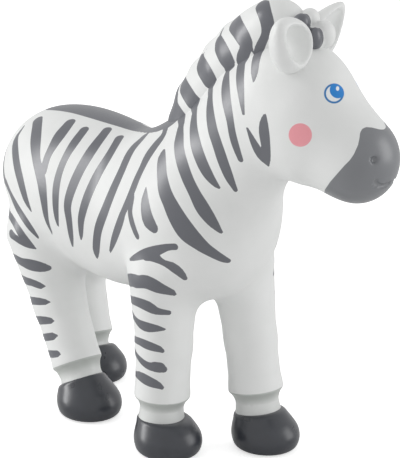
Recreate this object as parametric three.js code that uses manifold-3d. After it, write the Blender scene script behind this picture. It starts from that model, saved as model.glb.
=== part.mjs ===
// A chunky moulded zebra figure in a walking stance, as an assembly of hollow and solid mouldings.
// Millimetres, +X towards the nose, +Y to the animal's left, +Z up, hooves on z = 0.
import * as THREE from 'three';
import { mergeVertices } from 'three/addons/utils/BufferGeometryUtils.js';
import Module from 'manifold-3d';

const wasm = await Module();
wasm.setup();

// Sizes of the body
const trunkLength = 93;
const trunkWidth = 37;
const trunkDepth = 44.5;
const bellyHeight = 35.5;
const trunkBlend = 10;

// Sizes of the neck, and its rise above level in degrees
const neckLength = 38.5;
const neckDepth = 27;
const neckFlatness = 0.86;
const neckLean = 44.5;
const neckBlend = 8;

// Sizes of the head, and its turn to the animal's left in degrees
const headLength = 38;
const headDepth = 34;
const headWidth = 23.2;
const headTurn = 18;
const headBlend = 5;
const throatBlend = 4;

// Sizes of the legs
const legSpacing = 21;
const cuffRadius = 6.8;
const waistRadius = 5.2;
const waistDrop = 3;
const footRadius = 6.2;
const footSink = 1.5;
const legBlend = { fore: 4.5, hind: 4 };
const kneeBlend = 1.5;
const strideBlend = 1.5;
const waistBlend = 1.2;
const cuffRounding = 0.7;

// Sizes of the hooves
const hoofLength = 18.2;
const hoofWidth = 16;
const hoofHeight = 9.1;
const farHoofHeight = 8.2;
const hoofBulge = 5.3;
const hoofMiddleHeight = 3.5;
const hoofTopRadius = 6;
const hoofFlare = 1;
const hoofBlend = 5;
const soleRounding = 1.4;

// Sizes of the mane, the forelock, the ears and the tail
const maneWidth = 15;
const maneHeight = 17;
const tuftLength = 16;
const tuftBlend = 2;
const topKnotLength = 15;
const topKnotWidth = 13;
const topKnotHeight = 13.5;
const forelockSize = 8.4;
const forelockBlend = 1.2;
const earLength = 15.5;
const earWidth = 9.4;
const earThickness = 6.2;
const earRimRounding = 1;
const tailRadius = 2.5;
const tailBlend = 1.5;

// Walls, gaps and pegs
const wallThickness = 3;
const seamGap = 0.3;
const pegClearance = 0.3;
const legSeamDrop = 3;
const legPegRadius = 3.6;
const legPegLength = 5.5;
const hoofPegRadius = 3;
const hoofPegLength = 4.2;
const neckPlugRadius = 7;
const neckPlugLength = 6;
const neckFloorThickness = 5;
const pinRadius = 2;
const pinLength = 4;
const postRadius = 4.4;
const manePegRadius = 1.8;
const manePegLength = 6.5;
const earPegRadius = 1.2;
const earPegLength = 6.5;
const forelockPegRadius = 1.4;
const forelockPegLength = 6;
const tailPegRadius = 1.5;
const tailPegLength = 7;

// Fineness of the moulded surfaces
const trunkCell = 3.8;
const limbCell = 2.85;
const hollowCell = 6;
const maneCell = 2.7;
const forelockCell = 1.9;
const earCell = 1.0;
const hoofCell = 2.7;
const tailCell = 2.1;
const pegSides = 12;
const slope = 0.02;
const overrun = 3 * trunkLength;

// Bulges of the barrel: place along the trunk from the rump, height off its middle,
// half length, half width, half depth, as shares of its length, depth and width
const barrelShares = [
  { along: 0.252, up: 0.055, length: 0.258, width: 0.515, depth: 0.43, pitch: 6 },
  { along: 0.48, up: -0.015, length: 0.3, width: 0.46, depth: 0.475, pitch: 0 },
  { along: 0.775, up: 0.045, length: 0.2, width: 0.48, depth: 0.44, pitch: 0 },
  { along: 0.845, up: 0.06, length: 0.14, width: 0.4, depth: 0.38, pitch: 0 },
];

// Where the neck leaves the trunk, then its two rods: along the neck's length, off its line and
// radius as shares of its depth
const neckRootShares = { along: 0.774, up: 0.163 };
const neckShares = [
  { from: [-0.04, 0.2, 0.46], to: [1.15, 0.16, 0.33] },
  { from: [0.04, -0.235, 0.45], to: [0.86, -0.075, 0.455] },
];
const headSeamShare = 0.79;
const neckPlugShare = -0.04;

// Bulges of the head in its own turned frame, as shares of its length, depth and width
const skullShares = [
  { along: 0.17, up: 0.06, length: 0.33, width: 0.465, depth: 0.425, pitch: 25 },
  { along: 0.275, up: -0.16, length: 0.335, width: 0.5, depth: 0.34, pitch: 35 },
  { along: 0.585, up: -0.325, length: 0.225, width: 0.36, depth: 0.245, pitch: 45 },
];
const noseShares = { from: [0.31, 0.02, 0.41], to: [0.59, -0.25, 0.385] };

// Legs: places along the trunk of hip, knee, cuff and hoof, as shares of its length, and their
// distances from its middle, as shares of the spacing
const legs = [
  {
    name: 'right_front', side: -1, fore: true, hipRadius: 8.9, kneeRadius: 7, cuffHeight: 14.7, hoofHeight,
    placeShares: [0.78, 0.774, 0.77, 0.792], sideShares: [0.505, 0.495, 0.505, 0.507],
  },
  {
    name: 'left_front', side: 1, fore: true, hipRadius: 8.2, kneeRadius: 6.6, cuffHeight: 14.7, hoofHeight,
    placeShares: [0.832, 0.872, 0.888, 0.934], sideShares: [0.505, 0.495, 0.505, 0.507],
  },
  {
    name: 'right_hind', side: -1, fore: false, hipRadius: 10.7, kneeRadius: 7, cuffHeight: 13, hoofHeight,
    placeShares: [0.225, 0.293, 0.352, 0.434], sideShares: [0.465, 0.495, 0.505, 0.507],
  },
  {
    name: 'left_hind', side: 1, fore: false, hipRadius: 10.7, kneeRadius: 7, cuffHeight: 11.8, hoofHeight: farHoofHeight,
    placeShares: [0.195, 0.105, 0.14, 0.209], sideShares: [0.465, 0.43, 0.39, 0.343],
  },
];
const legHeightShares = [1.3, 0.79, 0.5];

// Crest of the mane: along the neck, and off its line as a share of its depth
const crestShares = [
  [0.09, 0.55], [0.25, 0.705], [0.45, 0.815], [0.66, 0.855], [0.87, 0.86], [1.07, 0.835], [1.25, 0.775],
];
const topKnotShares = [0.03, 0, 0.545];
const crestSinkShare = 0.5;

// Forelock tufts in the head's frame: along, side, up and size, as shares of the head and the tuft
const forelockShares = [
  [0.145, 0.04, 0.56, 0.52], [0.225, -0.065, 0.53, 0.44], [0.275, 0.13, 0.505, 0.43], [0.315, -0.015, 0.43, 0.45],
];

// Ears: root in the head's frame as shares of the head, lean, cup and taper
const earRootShares = { along: 0.208, side: 0.193, up: 0.397 };
const earLean = { forward: 1.2, outward: 10.5, upward: 7.6 };
const earFacing = { forward: 1, outward: -0.3, upward: -0.1 };
const earShares = { middle: 0.4, taper: 0.3, fullness: 1.08, least: 0.6, most: 1.5 };
const cupShares = { along: -0.02, out: 0.42, length: 0.42, width: 0.36, depth: 0.5 };

// Tail: along and up as shares of the trunk, thickness as a share of the tail's radius
const tailShares = [
  [0.02, 0.2, 1.04], [-0.026, 0.09, 0.96], [-0.022, -0.12, 0.92], [0.004, -0.29, 1], [0.02, -0.43, 1.2], [0.02, -0.55, 0.52],
];

// Locating pins between the two shells: along and up as shares of the trunk
const pinShares = [[0.2, 0.12], [0.5, 0.3], [0.88, 0.02]];
const manePegShares = [[0.45, 0.7], [1.06, 0.64]];

const tailPegShares = [-0.024, 0.1];
const forelockPegShares = [0.315, -0.015, 0.46];
const earPegShares = { along: 0.15, back: 0.24 };

// Colours and surfaces
const satinWhite = { color: '#e9ebe9', roughness: 0.45, metalness: 0 };
const satinCharcoal = { color: '#54565c', roughness: 0.42, metalness: 0 };
const glossBlack = { color: '#33353a', roughness: 0.2, metalness: 0 };

const radians = THREE.MathUtils.degToRad;
const point = (x, y, z) => new THREE.Vector3(x, y, z);
const upright = [point(1, 0, 0), point(0, 1, 0), point(0, 0, 1)];
const trunkMiddle = bellyHeight + trunkDepth / 2;

// Places

/** A point of the trunk's mid-plane, in shares of its length and depth. */
function onTrunk(along, up, side = 0) {
  return point(along * trunkLength, side, trunkMiddle + up * trunkDepth);
}

const neckRise = radians(neckLean);
const neckAxis = point(Math.cos(neckRise), 0, Math.sin(neckRise));
const neckBack = point(-Math.sin(neckRise), 0, Math.cos(neckRise));

/** A point along the neck, off its line towards the nape. */
function onNeck(along, off) {
  return onTrunk(neckRootShares.along, neckRootShares.up)
    .addScaledVector(neckAxis, along * neckLength)
    .addScaledVector(neckBack, off * neckDepth);
}

const headOrigin = onNeck(1, 0);
const turnHead = new THREE.Matrix4().makeRotationZ(radians(headTurn));
const headAxes = upright.map((axis) => axis.clone().transformDirection(turnHead));

/** A vector of the turned head's own frame. */
function headVector(forward, side, up) {
  return point(0, 0, 0)
    .addScaledVector(headAxes[0], forward)
    .addScaledVector(headAxes[1], side)
    .addScaledVector(headAxes[2], up);
}

/** A point of the head, in shares of its length, width and depth. */
function onHead(along, side, up) {
  return headVector(along * headLength, side * headWidth, up * headDepth).add(headOrigin);
}

/** Three square axes whose first dips by a pitch, in degrees, out of the given ones. */
function pitched(axes, pitch) {
  const forward = axes[0].clone().applyAxisAngle(axes[1], radians(pitch));
  const up = axes[2].clone().applyAxisAngle(axes[1], radians(pitch));
  return [forward, axes[1], up];
}

// Signed distances: less than zero inside, each with the box that holds its surface

/** Least of two distances, rounded where they meet. */
function smoothLeast(a, b, round) {
  const near = Math.max(round - Math.abs(a - b), 0) / round;
  return Math.min(a, b) - near * near * round / 4;
}

/** An egg with three half sizes along three axes. */
function egg(centre, half, axes = upright) {
  const field = (x, y, z) => {
    const local = axes.map((axis) => (x - centre.x) * axis.x + (y - centre.y) * axis.y + (z - centre.z) * axis.z);
    const near = Math.hypot(local[0] / half[0], local[1] / half[1], local[2] / half[2]);
    const steep = Math.hypot(local[0] / half[0] ** 2, local[1] / half[1] ** 2, local[2] / half[2] ** 2);
    return steep > 0 ? near * (near - 1) / steep : -Math.min(...half);
  };
  field.box = new THREE.Box3().setFromCenterAndSize(centre, point(1, 1, 1).multiplyScalar(2 * Math.max(...half)));
  return field;
}

/** A rod with round ends that swells or tapers; flatness narrows it sideways. */
function rod(start, end, startRadius, endRadius, flatness = 1) {
  const run = end.clone().sub(start);
  const field = (x, y, z) => {
    const px = x - start.x;
    const py = y - start.y;
    const pz = z - start.z;
    const share = THREE.MathUtils.clamp((px * run.x + py * run.y + pz * run.z) / run.lengthSq(), 0, 1);
    const off = Math.hypot(px - share * run.x, (py - share * run.y) / flatness, pz - share * run.z);
    return (off - THREE.MathUtils.lerp(startRadius, endRadius, share)) * flatness;
  };
  field.box = new THREE.Box3().setFromPoints([start, end]).expandByScalar(Math.max(startRadius, endRadius));
  return field;
}

/** Fields joined with a rounded crease. */
function blend(round, ...fields) {
  const field = (x, y, z) => {
    let least = fields[0](x, y, z);
    for (const next of fields.slice(1)) least = smoothLeast(least, next(x, y, z), round);
    return least;
  };
  field.box = fields.reduce((box, next) => box.union(next.box), new THREE.Box3());
  return field;
}

/** A field cut by another, with a rounded edge. */
function carve(field, cutter, round) {
  const carved = (x, y, z) => -smoothLeast(-field(x, y, z), cutter(x, y, z), round);
  carved.box = field.box;
  return carved;
}

/** A field grown outwards, or shrunk where the distance is less than zero. */
function grow(field, distance) {
  const grown = (x, y, z) => field(x, y, z) - distance;
  grown.box = field.box.clone().expandByScalar(distance);
  return grown;
}

/** The part of a field below a height. */
function under(field, height) {
  const cut = (x, y, z) => Math.max(field(x, y, z), z - height);
  cut.box = field.box.clone();
  cut.box.max.z = height;
  return cut;
}

/** The side of a plane that its normal points to, as a field. */
function beyond(at, normal) {
  return (x, y, z) => (at.x - x) * normal.x + (at.y - y) * normal.y + (at.z - z) * normal.z;
}

// Surfaces from fields

/** Direction and steepness of a field at a point. */
function gradient(field, v) {
  return point(
    field(v.x + slope, v.y, v.z) - field(v.x - slope, v.y, v.z),
    field(v.x, v.y + slope, v.z) - field(v.x, v.y - slope, v.z),
    field(v.x, v.y, v.z + slope) - field(v.x, v.y, v.z - slope),
  ).divideScalar(2 * slope);
}

/** Moves points onto the surface of a field. */
function settle(field, points, cell) {
  for (const v of points) {
    for (let step = 0; step < 3; step += 1) {
      const steep = gradient(field, v);
      const away = THREE.MathUtils.clamp(field(v.x, v.y, v.z) / Math.max(steep.lengthSq(), slope), -cell, cell);
      v.addScaledVector(steep, -away);
    }
  }
}

/** Draws each point halfway to the middle of its neighbours. */
function relax(points, quads) {
  const sums = points.map(() => point(0, 0, 0));
  const counts = points.map(() => 0);
  for (const quad of quads) {
    quad.forEach((index, corner) => {
      for (const other of [quad[(corner + 1) % 4], quad[(corner + 3) % 4]]) {
        sums[index].add(points[other]);
        counts[index] += 1;
      }
    });
  }
  points.forEach((v, index) => v.lerp(sums[index].divideScalar(counts[index]), 0.5));
}

/** One point for each cell that the surface crosses, joined by quads round each crossed edge. */
function surfaceOf(field, cell) {
  const low = field.box.min.clone().subScalar(2 * cell);
  const size = field.box.max.clone().sub(low).addScalar(2 * cell);
  const count = [size.x, size.y, size.z].map((length) => Math.ceil(length / cell) + 1);
  const stride = [1, count[0], count[0] * count[1]];
  const values = new Float64Array(count[0] * count[1] * count[2]);
  for (let k = 0; k < count[2]; k += 1) {
    for (let j = 0; j < count[1]; j += 1) {
      for (let i = 0; i < count[0]; i += 1) {
        values[i + j * stride[1] + k * stride[2]] = field(low.x + i * cell, low.y + j * cell, low.z + k * cell);
      }
    }
  }
  const corners = [0, 1, 2, 3, 4, 5, 6, 7].map((n) => [n & 1, (n >> 1) & 1, (n >> 2) & 1]);
  const offsets = corners.map((c) => c[0] * stride[0] + c[1] * stride[1] + c[2] * stride[2]);
  const edges = [];
  corners.forEach((a, m) => corners.forEach((b, n) => {
    if (m < n && a.filter((value, axis) => value !== b[axis]).length === 1) edges.push([m, n]);
  }));
  const points = [];
  const quads = [];
  const numberOf = new Map();
  for (let k = 0; k < count[2] - 1; k += 1) {
    for (let j = 0; j < count[1] - 1; j += 1) {
      for (let i = 0; i < count[0] - 1; i += 1) {
        const cellIndex = i + j * stride[1] + k * stride[2];
        const middle = point(0, 0, 0);
        let crossings = 0;
        for (const [m, n] of edges) {
          const before = values[cellIndex + offsets[m]];
          const after = values[cellIndex + offsets[n]];
          if ((before < 0) === (after < 0)) continue;
          const share = before / (before - after);
          middle.add(point(...corners[m].map((value, axis) => THREE.MathUtils.lerp(value, corners[n][axis], share))));
          crossings += 1;
        }
        if (crossings === 0) continue;
        numberOf.set(cellIndex, points.length);
        points.push(middle.divideScalar(crossings).add(point(i, j, k)).multiplyScalar(cell).add(low));
      }
    }
  }
  for (let k = 1; k < count[2] - 1; k += 1) {
    for (let j = 1; j < count[1] - 1; j += 1) {
      for (let i = 1; i < count[0] - 1; i += 1) {
        const corner = i + j * stride[1] + k * stride[2];
        for (const axis of [0, 1, 2]) {
          const inside = values[corner] < 0;
          if (inside === (values[corner + stride[axis]] < 0)) continue;
          const across = stride[(axis + 1) % 3];
          const along = stride[(axis + 2) % 3];
          const around = [corner - across - along, corner - along, corner, corner - across];
          const quad = around.map((index) => numberOf.get(index));
          quads.push(inside ? quad : quad.reverse());
        }
      }
    }
  }
  for (let round = 0; round < 2; round += 1) {
    relax(points, quads);
    settle(field, points, cell);
  }
  return { points, quads };
}

// Solids

/** A closed solid from points and triangles. */
function solidFrom(vertProperties, triVerts) {
  return new wasm.Manifold(new wasm.Mesh({ numProp: 3, vertProperties, triVerts }));
}

/** The solid that a field encloses, each quad split along its shorter diagonal. */
function mould(field, cell) {
  const { points, quads } = surfaceOf(field, cell);
  const triangles = quads.flatMap(([a, b, c, d]) => {
    const split = points[a].distanceToSquared(points[c]) < points[b].distanceToSquared(points[d]);
    return split ? [a, b, c, a, c, d] : [a, b, d, b, c, d];
  });
  return solidFrom(new Float32Array(points.flatMap((v) => v.toArray())), new Uint32Array(triangles));
}

/** The solid of a closed three.js geometry. */
function solidOf(geometry) {
  geometry.deleteAttribute('normal');
  geometry.deleteAttribute('uv');
  const merged = mergeVertices(geometry);
  return solidFrom(new Float32Array(merged.attributes.position.array), new Uint32Array(merged.index.array));
}

/** A round peg from one point, along a direction. */
function peg(start, direction, radius, length) {
  const geometry = new THREE.CylinderGeometry(radius, radius, length, pegSides);
  geometry.translate(0, length / 2, 0);
  geometry.applyQuaternion(new THREE.Quaternion().setFromUnitVectors(point(0, 1, 0), direction));
  geometry.translate(start.x, start.y, start.z);
  return solidOf(geometry);
}

/** The hole that a peg needs, with clearance round it and beyond its tip. */
function pegHole(start, direction, radius, length) {
  return peg(start, direction, radius + pegClearance, length + pegClearance);
}

/** A block that fills the side of a plane that its normal points to, from a distance beyond it. */
function sideOf(at, normal, distance = 0) {
  const geometry = new THREE.BoxGeometry(overrun, overrun, overrun);
  geometry.translate(0, 0, overrun / 2);
  geometry.applyQuaternion(new THREE.Quaternion().setFromUnitVectors(point(0, 0, 1), normal));
  const start = at.clone().addScaledVector(normal, distance);
  geometry.translate(start.x, start.y, start.z);
  return solidOf(geometry);
}

// Fields of the forms

/** One bulge of a table, in a frame given by its place function, sizes and axes. */
function bulge(place, length, width, depth, axes, share) {
  const half = [share.length * length, share.width * width, share.depth * depth];
  return egg(place(share.along, share.up), half, pitched(axes, share.pitch));
}

const barrel = blend(
  trunkBlend,
  ...barrelShares.map((share) => bulge(onTrunk, trunkLength, trunkWidth, trunkDepth, upright, share)),
);

const neck = blend(neckBlend, ...neckShares.map(({ from, to }) => rod(
  onNeck(from[0], from[1]),
  onNeck(to[0], to[1]),
  from[2] * neckDepth,
  to[2] * neckDepth,
  neckFlatness,
)));

const skull = blend(
  headBlend,
  ...skullShares.map((share) => bulge(
    (along, up) => onHead(along, 0, up), headLength, headWidth, headDepth, headAxes, share,
  )),
  rod(
    onHead(noseShares.from[0], 0, noseShares.from[1]),
    onHead(noseShares.to[0], 0, noseShares.to[1]),
    noseShares.from[2] * headWidth,
    noseShares.to[2] * headWidth,
  ),
);

/** Hip, knee, cuff and hoof of a leg, and the line of its lower half. */
function legPoints({ side, placeShares, sideShares, cuffHeight, hoofHeight: top }) {
  const joints = placeShares.map((along, joint) => point(
    along * trunkLength,
    side * sideShares[joint] * legSpacing,
    joint < 3 ? legHeightShares[joint] * bellyHeight : hoofMiddleHeight,
  ));
  const [hip, knee, cuff, hoof] = joints;
  const down = cuff.clone().sub(knee).normalize();
  const atHeight = (height) => cuff.clone().addScaledVector(down, (height - cuff.z) / down.z);
  const seam = hip.clone().lerp(knee, (hip.z - legSeamHeight) / (hip.z - knee.z));
  const [edge, waist, ankle, foot] = [cuffHeight, cuffHeight - waistDrop, top, top - footSink].map(atHeight);
  return { hip, knee, hoof, down, seam, edge, waist, ankle, foot };
}

/** A leg, which ends in a cuff over its narrower pastern. */
function legForm(leg) {
  const { hip, knee, edge, waist, foot, down: line } = legPoints(leg);
  const shaft = blend(
    kneeBlend,
    rod(hip, knee, leg.hipRadius, leg.kneeRadius),
    rod(knee, foot, leg.kneeRadius, cuffRadius),
  );
  return blend(
    waistBlend,
    carve(shaft, beyond(edge, line), cuffRounding),
    rod(edge, waist, cuffRadius, waistRadius),
    rod(waist, foot, waistRadius, footRadius),
  );
}

/** A bell-shaped hoof that rolls under to its flat sole, whose cut is made later. */
function hoofForm(leg) {
  const { hoof, ankle } = legPoints(leg);
  const bell = blend(
    hoofBlend,
    egg(hoof, [hoofLength / 2, hoofWidth / 2, hoofBulge]),
    rod(ankle, hoof, hoofTopRadius, hoofTopRadius + hoofFlare),
  );
  return carve(bell, beyond(point(0, 0, -seamGap / 2), point(0, 0, -1)), soleRounding);
}

/** The raised crest of tufts that runs from the withers to the knot between the ears. */
function maneForm() {
  const crest = crestShares.map(([along, off]) => onNeck(along, off));
  const tufts = crest.map((top, n) => {
    const forward = crest[Math.min(n + 1, crest.length - 1)].clone().sub(crest[Math.max(n - 1, 0)]).normalize();
    const out = forward.clone().cross(upright[1]);
    const centre = top.clone().addScaledVector(out, -crestSinkShare * maneHeight);
    return egg(centre, [tuftLength / 2, maneWidth / 2, maneHeight / 2], [forward, upright[1], out]);
  });
  const knot = egg(onHead(...topKnotShares), [topKnotLength / 2, topKnotWidth / 2, topKnotHeight / 2], headAxes);
  return blend(tuftBlend, ...tufts, knot);
}

/** Small round tufts down the forehead. */
function forelockForm() {
  return blend(forelockBlend, ...forelockShares.map(([along, side, up, size]) => {
    const half = size * forelockSize;
    return egg(onHead(along, side, up), [half, half, half], headAxes);
  }));
}

/** Root, line, face and breadth directions of an ear. */
function earFrame(side) {
  const line = headVector(earLean.forward, earLean.outward * side, earLean.upward).normalize();
  const face = headVector(earFacing.forward, earFacing.outward * side, earFacing.upward);
  face.addScaledVector(line, -face.dot(line)).normalize();
  const root = onHead(earRootShares.along, earRootShares.side * side, earRootShares.up);
  const pegRoot = root.clone()
    .addScaledVector(line, earPegShares.along * earLength)
    .addScaledVector(face, -earPegShares.back * earThickness);
  return { root, line, face, breadth: line.clone().cross(face), pegRoot };
}

/** A leaf-shaped ear, wide at its root, with a cup in its face. */
function earForm(side) {
  const { root, line, face, breadth } = earFrame(side);
  const middle = root.clone().addScaledVector(line, earShares.middle * earLength);
  const leaf = egg(point(0, 0, 0), [earLength / 2, earWidth / 2, earThickness / 2]);
  const cup = egg(
    point(cupShares.along * earLength, 0, cupShares.out * earThickness),
    [cupShares.length * earLength, cupShares.width * earWidth, cupShares.depth * earThickness],
  );
  const field = (x, y, z) => {
    const off = point(x, y, z).sub(middle);
    const along = off.dot(line);
    const swell = THREE.MathUtils.clamp(
      earShares.fullness - earShares.taper * 2 * along / earLength, earShares.least, earShares.most,
    );
    const across = off.dot(breadth) / swell;
    const out = off.dot(face) / swell;
    return -smoothLeast(-leaf(along, across, out), cup(along, across, out), earRimRounding);
  };
  field.box = new THREE.Box3().setFromCenterAndSize(middle, point(1, 1, 1).multiplyScalar(earLength + earWidth));
  return field;
}

/** A tail that hangs close to the rump and ends in a tuft. */
function tailForm() {
  const bones = tailShares.slice(1).map(([along, up, size], n) => {
    const [beforeAlong, beforeUp, beforeSize] = tailShares[n];
    return rod(onTrunk(beforeAlong, beforeUp), onTrunk(along, up), beforeSize * tailRadius, size * tailRadius);
  });
  return blend(tailBlend, ...bones);
}

// The white body, its hollows, and what is seated on it

const legSeamHeight = bellyHeight - legSeamDrop;
const torso = blend(trunkBlend, barrel, neck);
const [foreLegs, hindLegs] = [true, false].map(
  (fore) => blend(strideBlend, ...legs.filter((leg) => leg.fore === fore).map(legForm)),
);
const hide = blend(throatBlend, blend(legBlend.hind, blend(legBlend.fore, torso, foreLegs), hindLegs), skull);
const body = mould(hide, limbCell);
const bodySeat = mould(grow(hide, seamGap), limbCell);
const headSeam = onNeck(headSeamShare, neckPlugShare);
const seamLevel = point(0, 0, legSeamHeight);
const up = upright[2];
const down = up.clone().negate();

const legRoots = legs.map((leg) => legPoints(leg).seam);
const maneRoots = manePegShares.map(([along, off]) => onNeck(along, off));
const maneField = maneForm();
const forelockField = forelockForm();
const tailField = tailForm();
const tailRoot = onTrunk(...tailPegShares);
const forelockRoot = onHead(...forelockPegShares);
const forelockDown = headVector(0, 0, -1);
const maneDown = neckBack.clone().negate();
const ears = [{ name: 'right_ear', side: -1 }, { name: 'left_ear', side: 1 }];

/** The space inside the trunk, less the posts for the pins and the blocks over the leg pegs. */
function trunkHollow() {
  const inside = grow(torso, -wallThickness);
  let hollow = mould(inside, hollowCell).subtract(sideOf(headSeam, neckAxis, -neckFloorThickness));
  for (const [along, height] of pinShares) {
    hollow = hollow.subtract(peg(onTrunk(along, height, -trunkWidth / 2), upright[1], postRadius, trunkWidth));
  }
  for (const root of legRoots) {
    hollow = hollow.subtract(peg(root, up, legPegRadius + wallThickness, legPegLength + wallThickness));
  }
  const manePost = peg(maneRoots[0], maneDown, manePegRadius + wallThickness, manePegLength + wallThickness);
  const tailPost = peg(tailRoot, upright[0], tailPegRadius + wallThickness, tailPegLength + wallThickness);
  return hollow.subtract(manePost).subtract(tailPost);
}

/** The trunk and neck before they are halved, with the sockets and the plug for the head. */
function trunkSolid() {
  const plugRoot = headSeam.clone().addScaledVector(neckAxis, -neckFloorThickness);
  let trunk = mould(hide, trunkCell)
    .subtract(sideOf(headSeam, neckAxis, -seamGap / 2))
    .intersect(sideOf(seamLevel, up, seamGap / 2))
    .subtract(trunkHollow())
    .add(peg(plugRoot, neckAxis, neckPlugRadius, neckFloorThickness + neckPlugLength))
    .subtract(pegHole(maneRoots[0], maneDown, manePegRadius, manePegLength))
    .subtract(pegHole(tailRoot, upright[0], tailPegRadius, tailPegLength));
  for (const root of legRoots) trunk = trunk.subtract(pegHole(root, up, legPegRadius, legPegLength));
  return trunk;
}

/** Half of the trunk and neck; the right half has the pins and the left half their holes. */
function trunkShell(side) {
  let shell = trunk.intersect(sideOf(point(0, 0, 0), point(0, side, 0), seamGap / 2));
  for (const [along, height] of pinShares) {
    const pin = peg(onTrunk(along, height, -pinLength), upright[1], pinRadius, 2 * pinLength);
    shell = side < 0 ? shell.add(pin) : shell.subtract(pegHole(onTrunk(along, height), upright[1], pinRadius, pinLength));
  }
  return shell;
}

/** A solid with holes for the pegs of both ears. */
function clearEarPegs(solid) {
  return ears.reduce((rest, { side }) => {
    const { pegRoot, line } = earFrame(side);
    return rest.subtract(pegHole(pegRoot, line.clone().negate(), earPegRadius, earPegLength));
  }, solid);
}

/** The head, with sockets for the neck plug, the mane, the forelock and the ears. */
function headSolid() {
  const head = body
    .intersect(sideOf(headSeam, neckAxis, seamGap / 2))
    .subtract(pegHole(headSeam, neckAxis, neckPlugRadius, neckPlugLength))
    .subtract(pegHole(maneRoots[1], maneDown, manePegRadius, manePegLength))
    .subtract(pegHole(forelockRoot, forelockDown, forelockPegRadius, forelockPegLength));
  return clearEarPegs(head);
}

/** A leg from the seam under the body to the top of its hoof, with a peg at each end. */
function legSolid(leg) {
  const { seam, ankle, down: line } = legPoints(leg);
  const reach = legSeamDrop;
  const field = blend(leg.fore ? legBlend.fore : legBlend.hind, torso, legForm(leg));
  field.box = legForm(leg).box;
  return mould(under(field, bellyHeight), limbCell)
    .intersect(sideOf(seamLevel, down, seamGap / 2))
    .subtract(sideOf(ankle, line, -seamGap / 2))
    .intersect(sideOf(point(0, 0, 0), point(0, leg.side, 0), seamGap / 2))
    .add(peg(seam.clone().addScaledVector(down, reach), up, legPegRadius, reach + legPegLength))
    .add(peg(ankle.clone().addScaledVector(line, -reach), line, hoofPegRadius, reach + hoofPegLength));
}

/** A hoof with a flat sole and a socket for its leg's peg. */
function hoofSolid(leg) {
  const { ankle, down: line } = legPoints(leg);
  return mould(hoofForm(leg), hoofCell)
    .intersect(sideOf(ankle, line, seamGap / 2))
    .intersect(sideOf(point(0, 0, 0), up))
    .subtract(pegHole(ankle, line, hoofPegRadius, hoofPegLength));
}

/** The mane, seated on the neck and the head, with two pegs under it. */
function maneSolid() {
  let mane = clearEarPegs(mould(maneField, maneCell).subtract(bodySeat));
  for (const root of maneRoots) mane = mane.add(peg(root, maneDown, manePegRadius, manePegLength));
  return mane;
}

/** The forelock, seated on the head in front of the mane. */
function forelockSolid() {
  const tufts = mould(forelockField, forelockCell)
    .subtract(mould(grow(maneField, seamGap), maneCell))
    .subtract(bodySeat);
  return clearEarPegs(tufts)
    .add(peg(forelockRoot, forelockDown, forelockPegRadius, forelockPegLength));
}

/** An ear, clear of the mane and the forelock, with its peg. */
function earSolid(side) {
  const { pegRoot, line } = earFrame(side);
  return mould(earForm(side), earCell)
    .subtract(mould(grow(maneField, seamGap), maneCell))
    .subtract(mould(grow(forelockField, seamGap), forelockCell))
    .subtract(bodySeat)
    .add(peg(pegRoot, line.clone().negate(), earPegRadius, earPegLength));
}

/** The tail, seated on the rump, with a peg on the mid-plane. */
function tailSolid() {
  return mould(tailField, tailCell)
    .subtract(bodySeat)
    .add(peg(tailRoot, upright[0], tailPegRadius, tailPegLength));
}

// The figure

const figure = new THREE.Group();

/** Adds one named piece of the figure. */
function addPiece(name, solid, finish) {
  const { vertProperties, triVerts } = solid.getMesh();
  const geometry = new THREE.BufferGeometry();
  geometry.setAttribute('position', new THREE.BufferAttribute(vertProperties, 3));
  geometry.setIndex(new THREE.BufferAttribute(triVerts, 1));
  geometry.computeVertexNormals();
  const mesh = new THREE.Mesh(geometry, new THREE.MeshStandardMaterial(finish));
  mesh.name = name;
  figure.add(mesh);
}

const trunk = trunkSolid();
addPiece('trunk_right_shell', trunkShell(-1), satinWhite);
addPiece('trunk_left_shell', trunkShell(1), satinWhite);
addPiece('head', headSolid(), satinWhite);
addPiece('mane', maneSolid(), satinWhite);
addPiece('forelock', forelockSolid(), satinWhite);
for (const { name, side } of ears) addPiece(name, earSolid(side), satinWhite);
addPiece('tail', tailSolid(), satinCharcoal);
for (const leg of legs) {
  addPiece(`${leg.name}_leg`, legSolid(leg), satinWhite);
  addPiece(`${leg.name}_hoof`, hoofSolid(leg), glossBlack);
}

// The origin is on the ground, in the middle of the figure's outline from above
const outline = new THREE.Box3().setFromObject(figure);
const middle = outline.getCenter(point(0, 0, 0));
figure.position.set(-middle.x, -middle.y, 0);
figure.updateMatrixWorld(true);

export default figure;
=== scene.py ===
"""Looks of a chunky moulded zebra figure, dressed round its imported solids.

Smooth-blended forms give every skin. Stripes, muzzle, eyes and cheeks are print: their
distances are worked out once at the points of a skin, and the materials read them there.
"""

import logging
import math
from dataclasses import dataclass, field
from enum import Enum
from functools import cached_property
from typing import Callable, Sequence

import bmesh
import bpy
import numpy as np
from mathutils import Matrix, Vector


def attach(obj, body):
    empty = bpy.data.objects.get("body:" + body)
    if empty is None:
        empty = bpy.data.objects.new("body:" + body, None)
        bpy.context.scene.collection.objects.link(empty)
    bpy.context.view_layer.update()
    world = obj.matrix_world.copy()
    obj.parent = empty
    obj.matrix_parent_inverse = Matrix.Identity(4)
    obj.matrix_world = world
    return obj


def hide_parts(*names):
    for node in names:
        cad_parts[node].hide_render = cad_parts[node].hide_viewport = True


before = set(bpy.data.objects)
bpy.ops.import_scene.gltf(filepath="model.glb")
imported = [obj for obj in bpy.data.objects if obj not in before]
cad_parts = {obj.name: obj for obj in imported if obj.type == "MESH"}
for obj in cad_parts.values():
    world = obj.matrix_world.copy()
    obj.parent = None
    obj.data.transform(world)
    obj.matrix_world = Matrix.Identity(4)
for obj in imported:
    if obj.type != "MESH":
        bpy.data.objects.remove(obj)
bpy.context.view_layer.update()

log = logging.getLogger("zebra")

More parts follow.
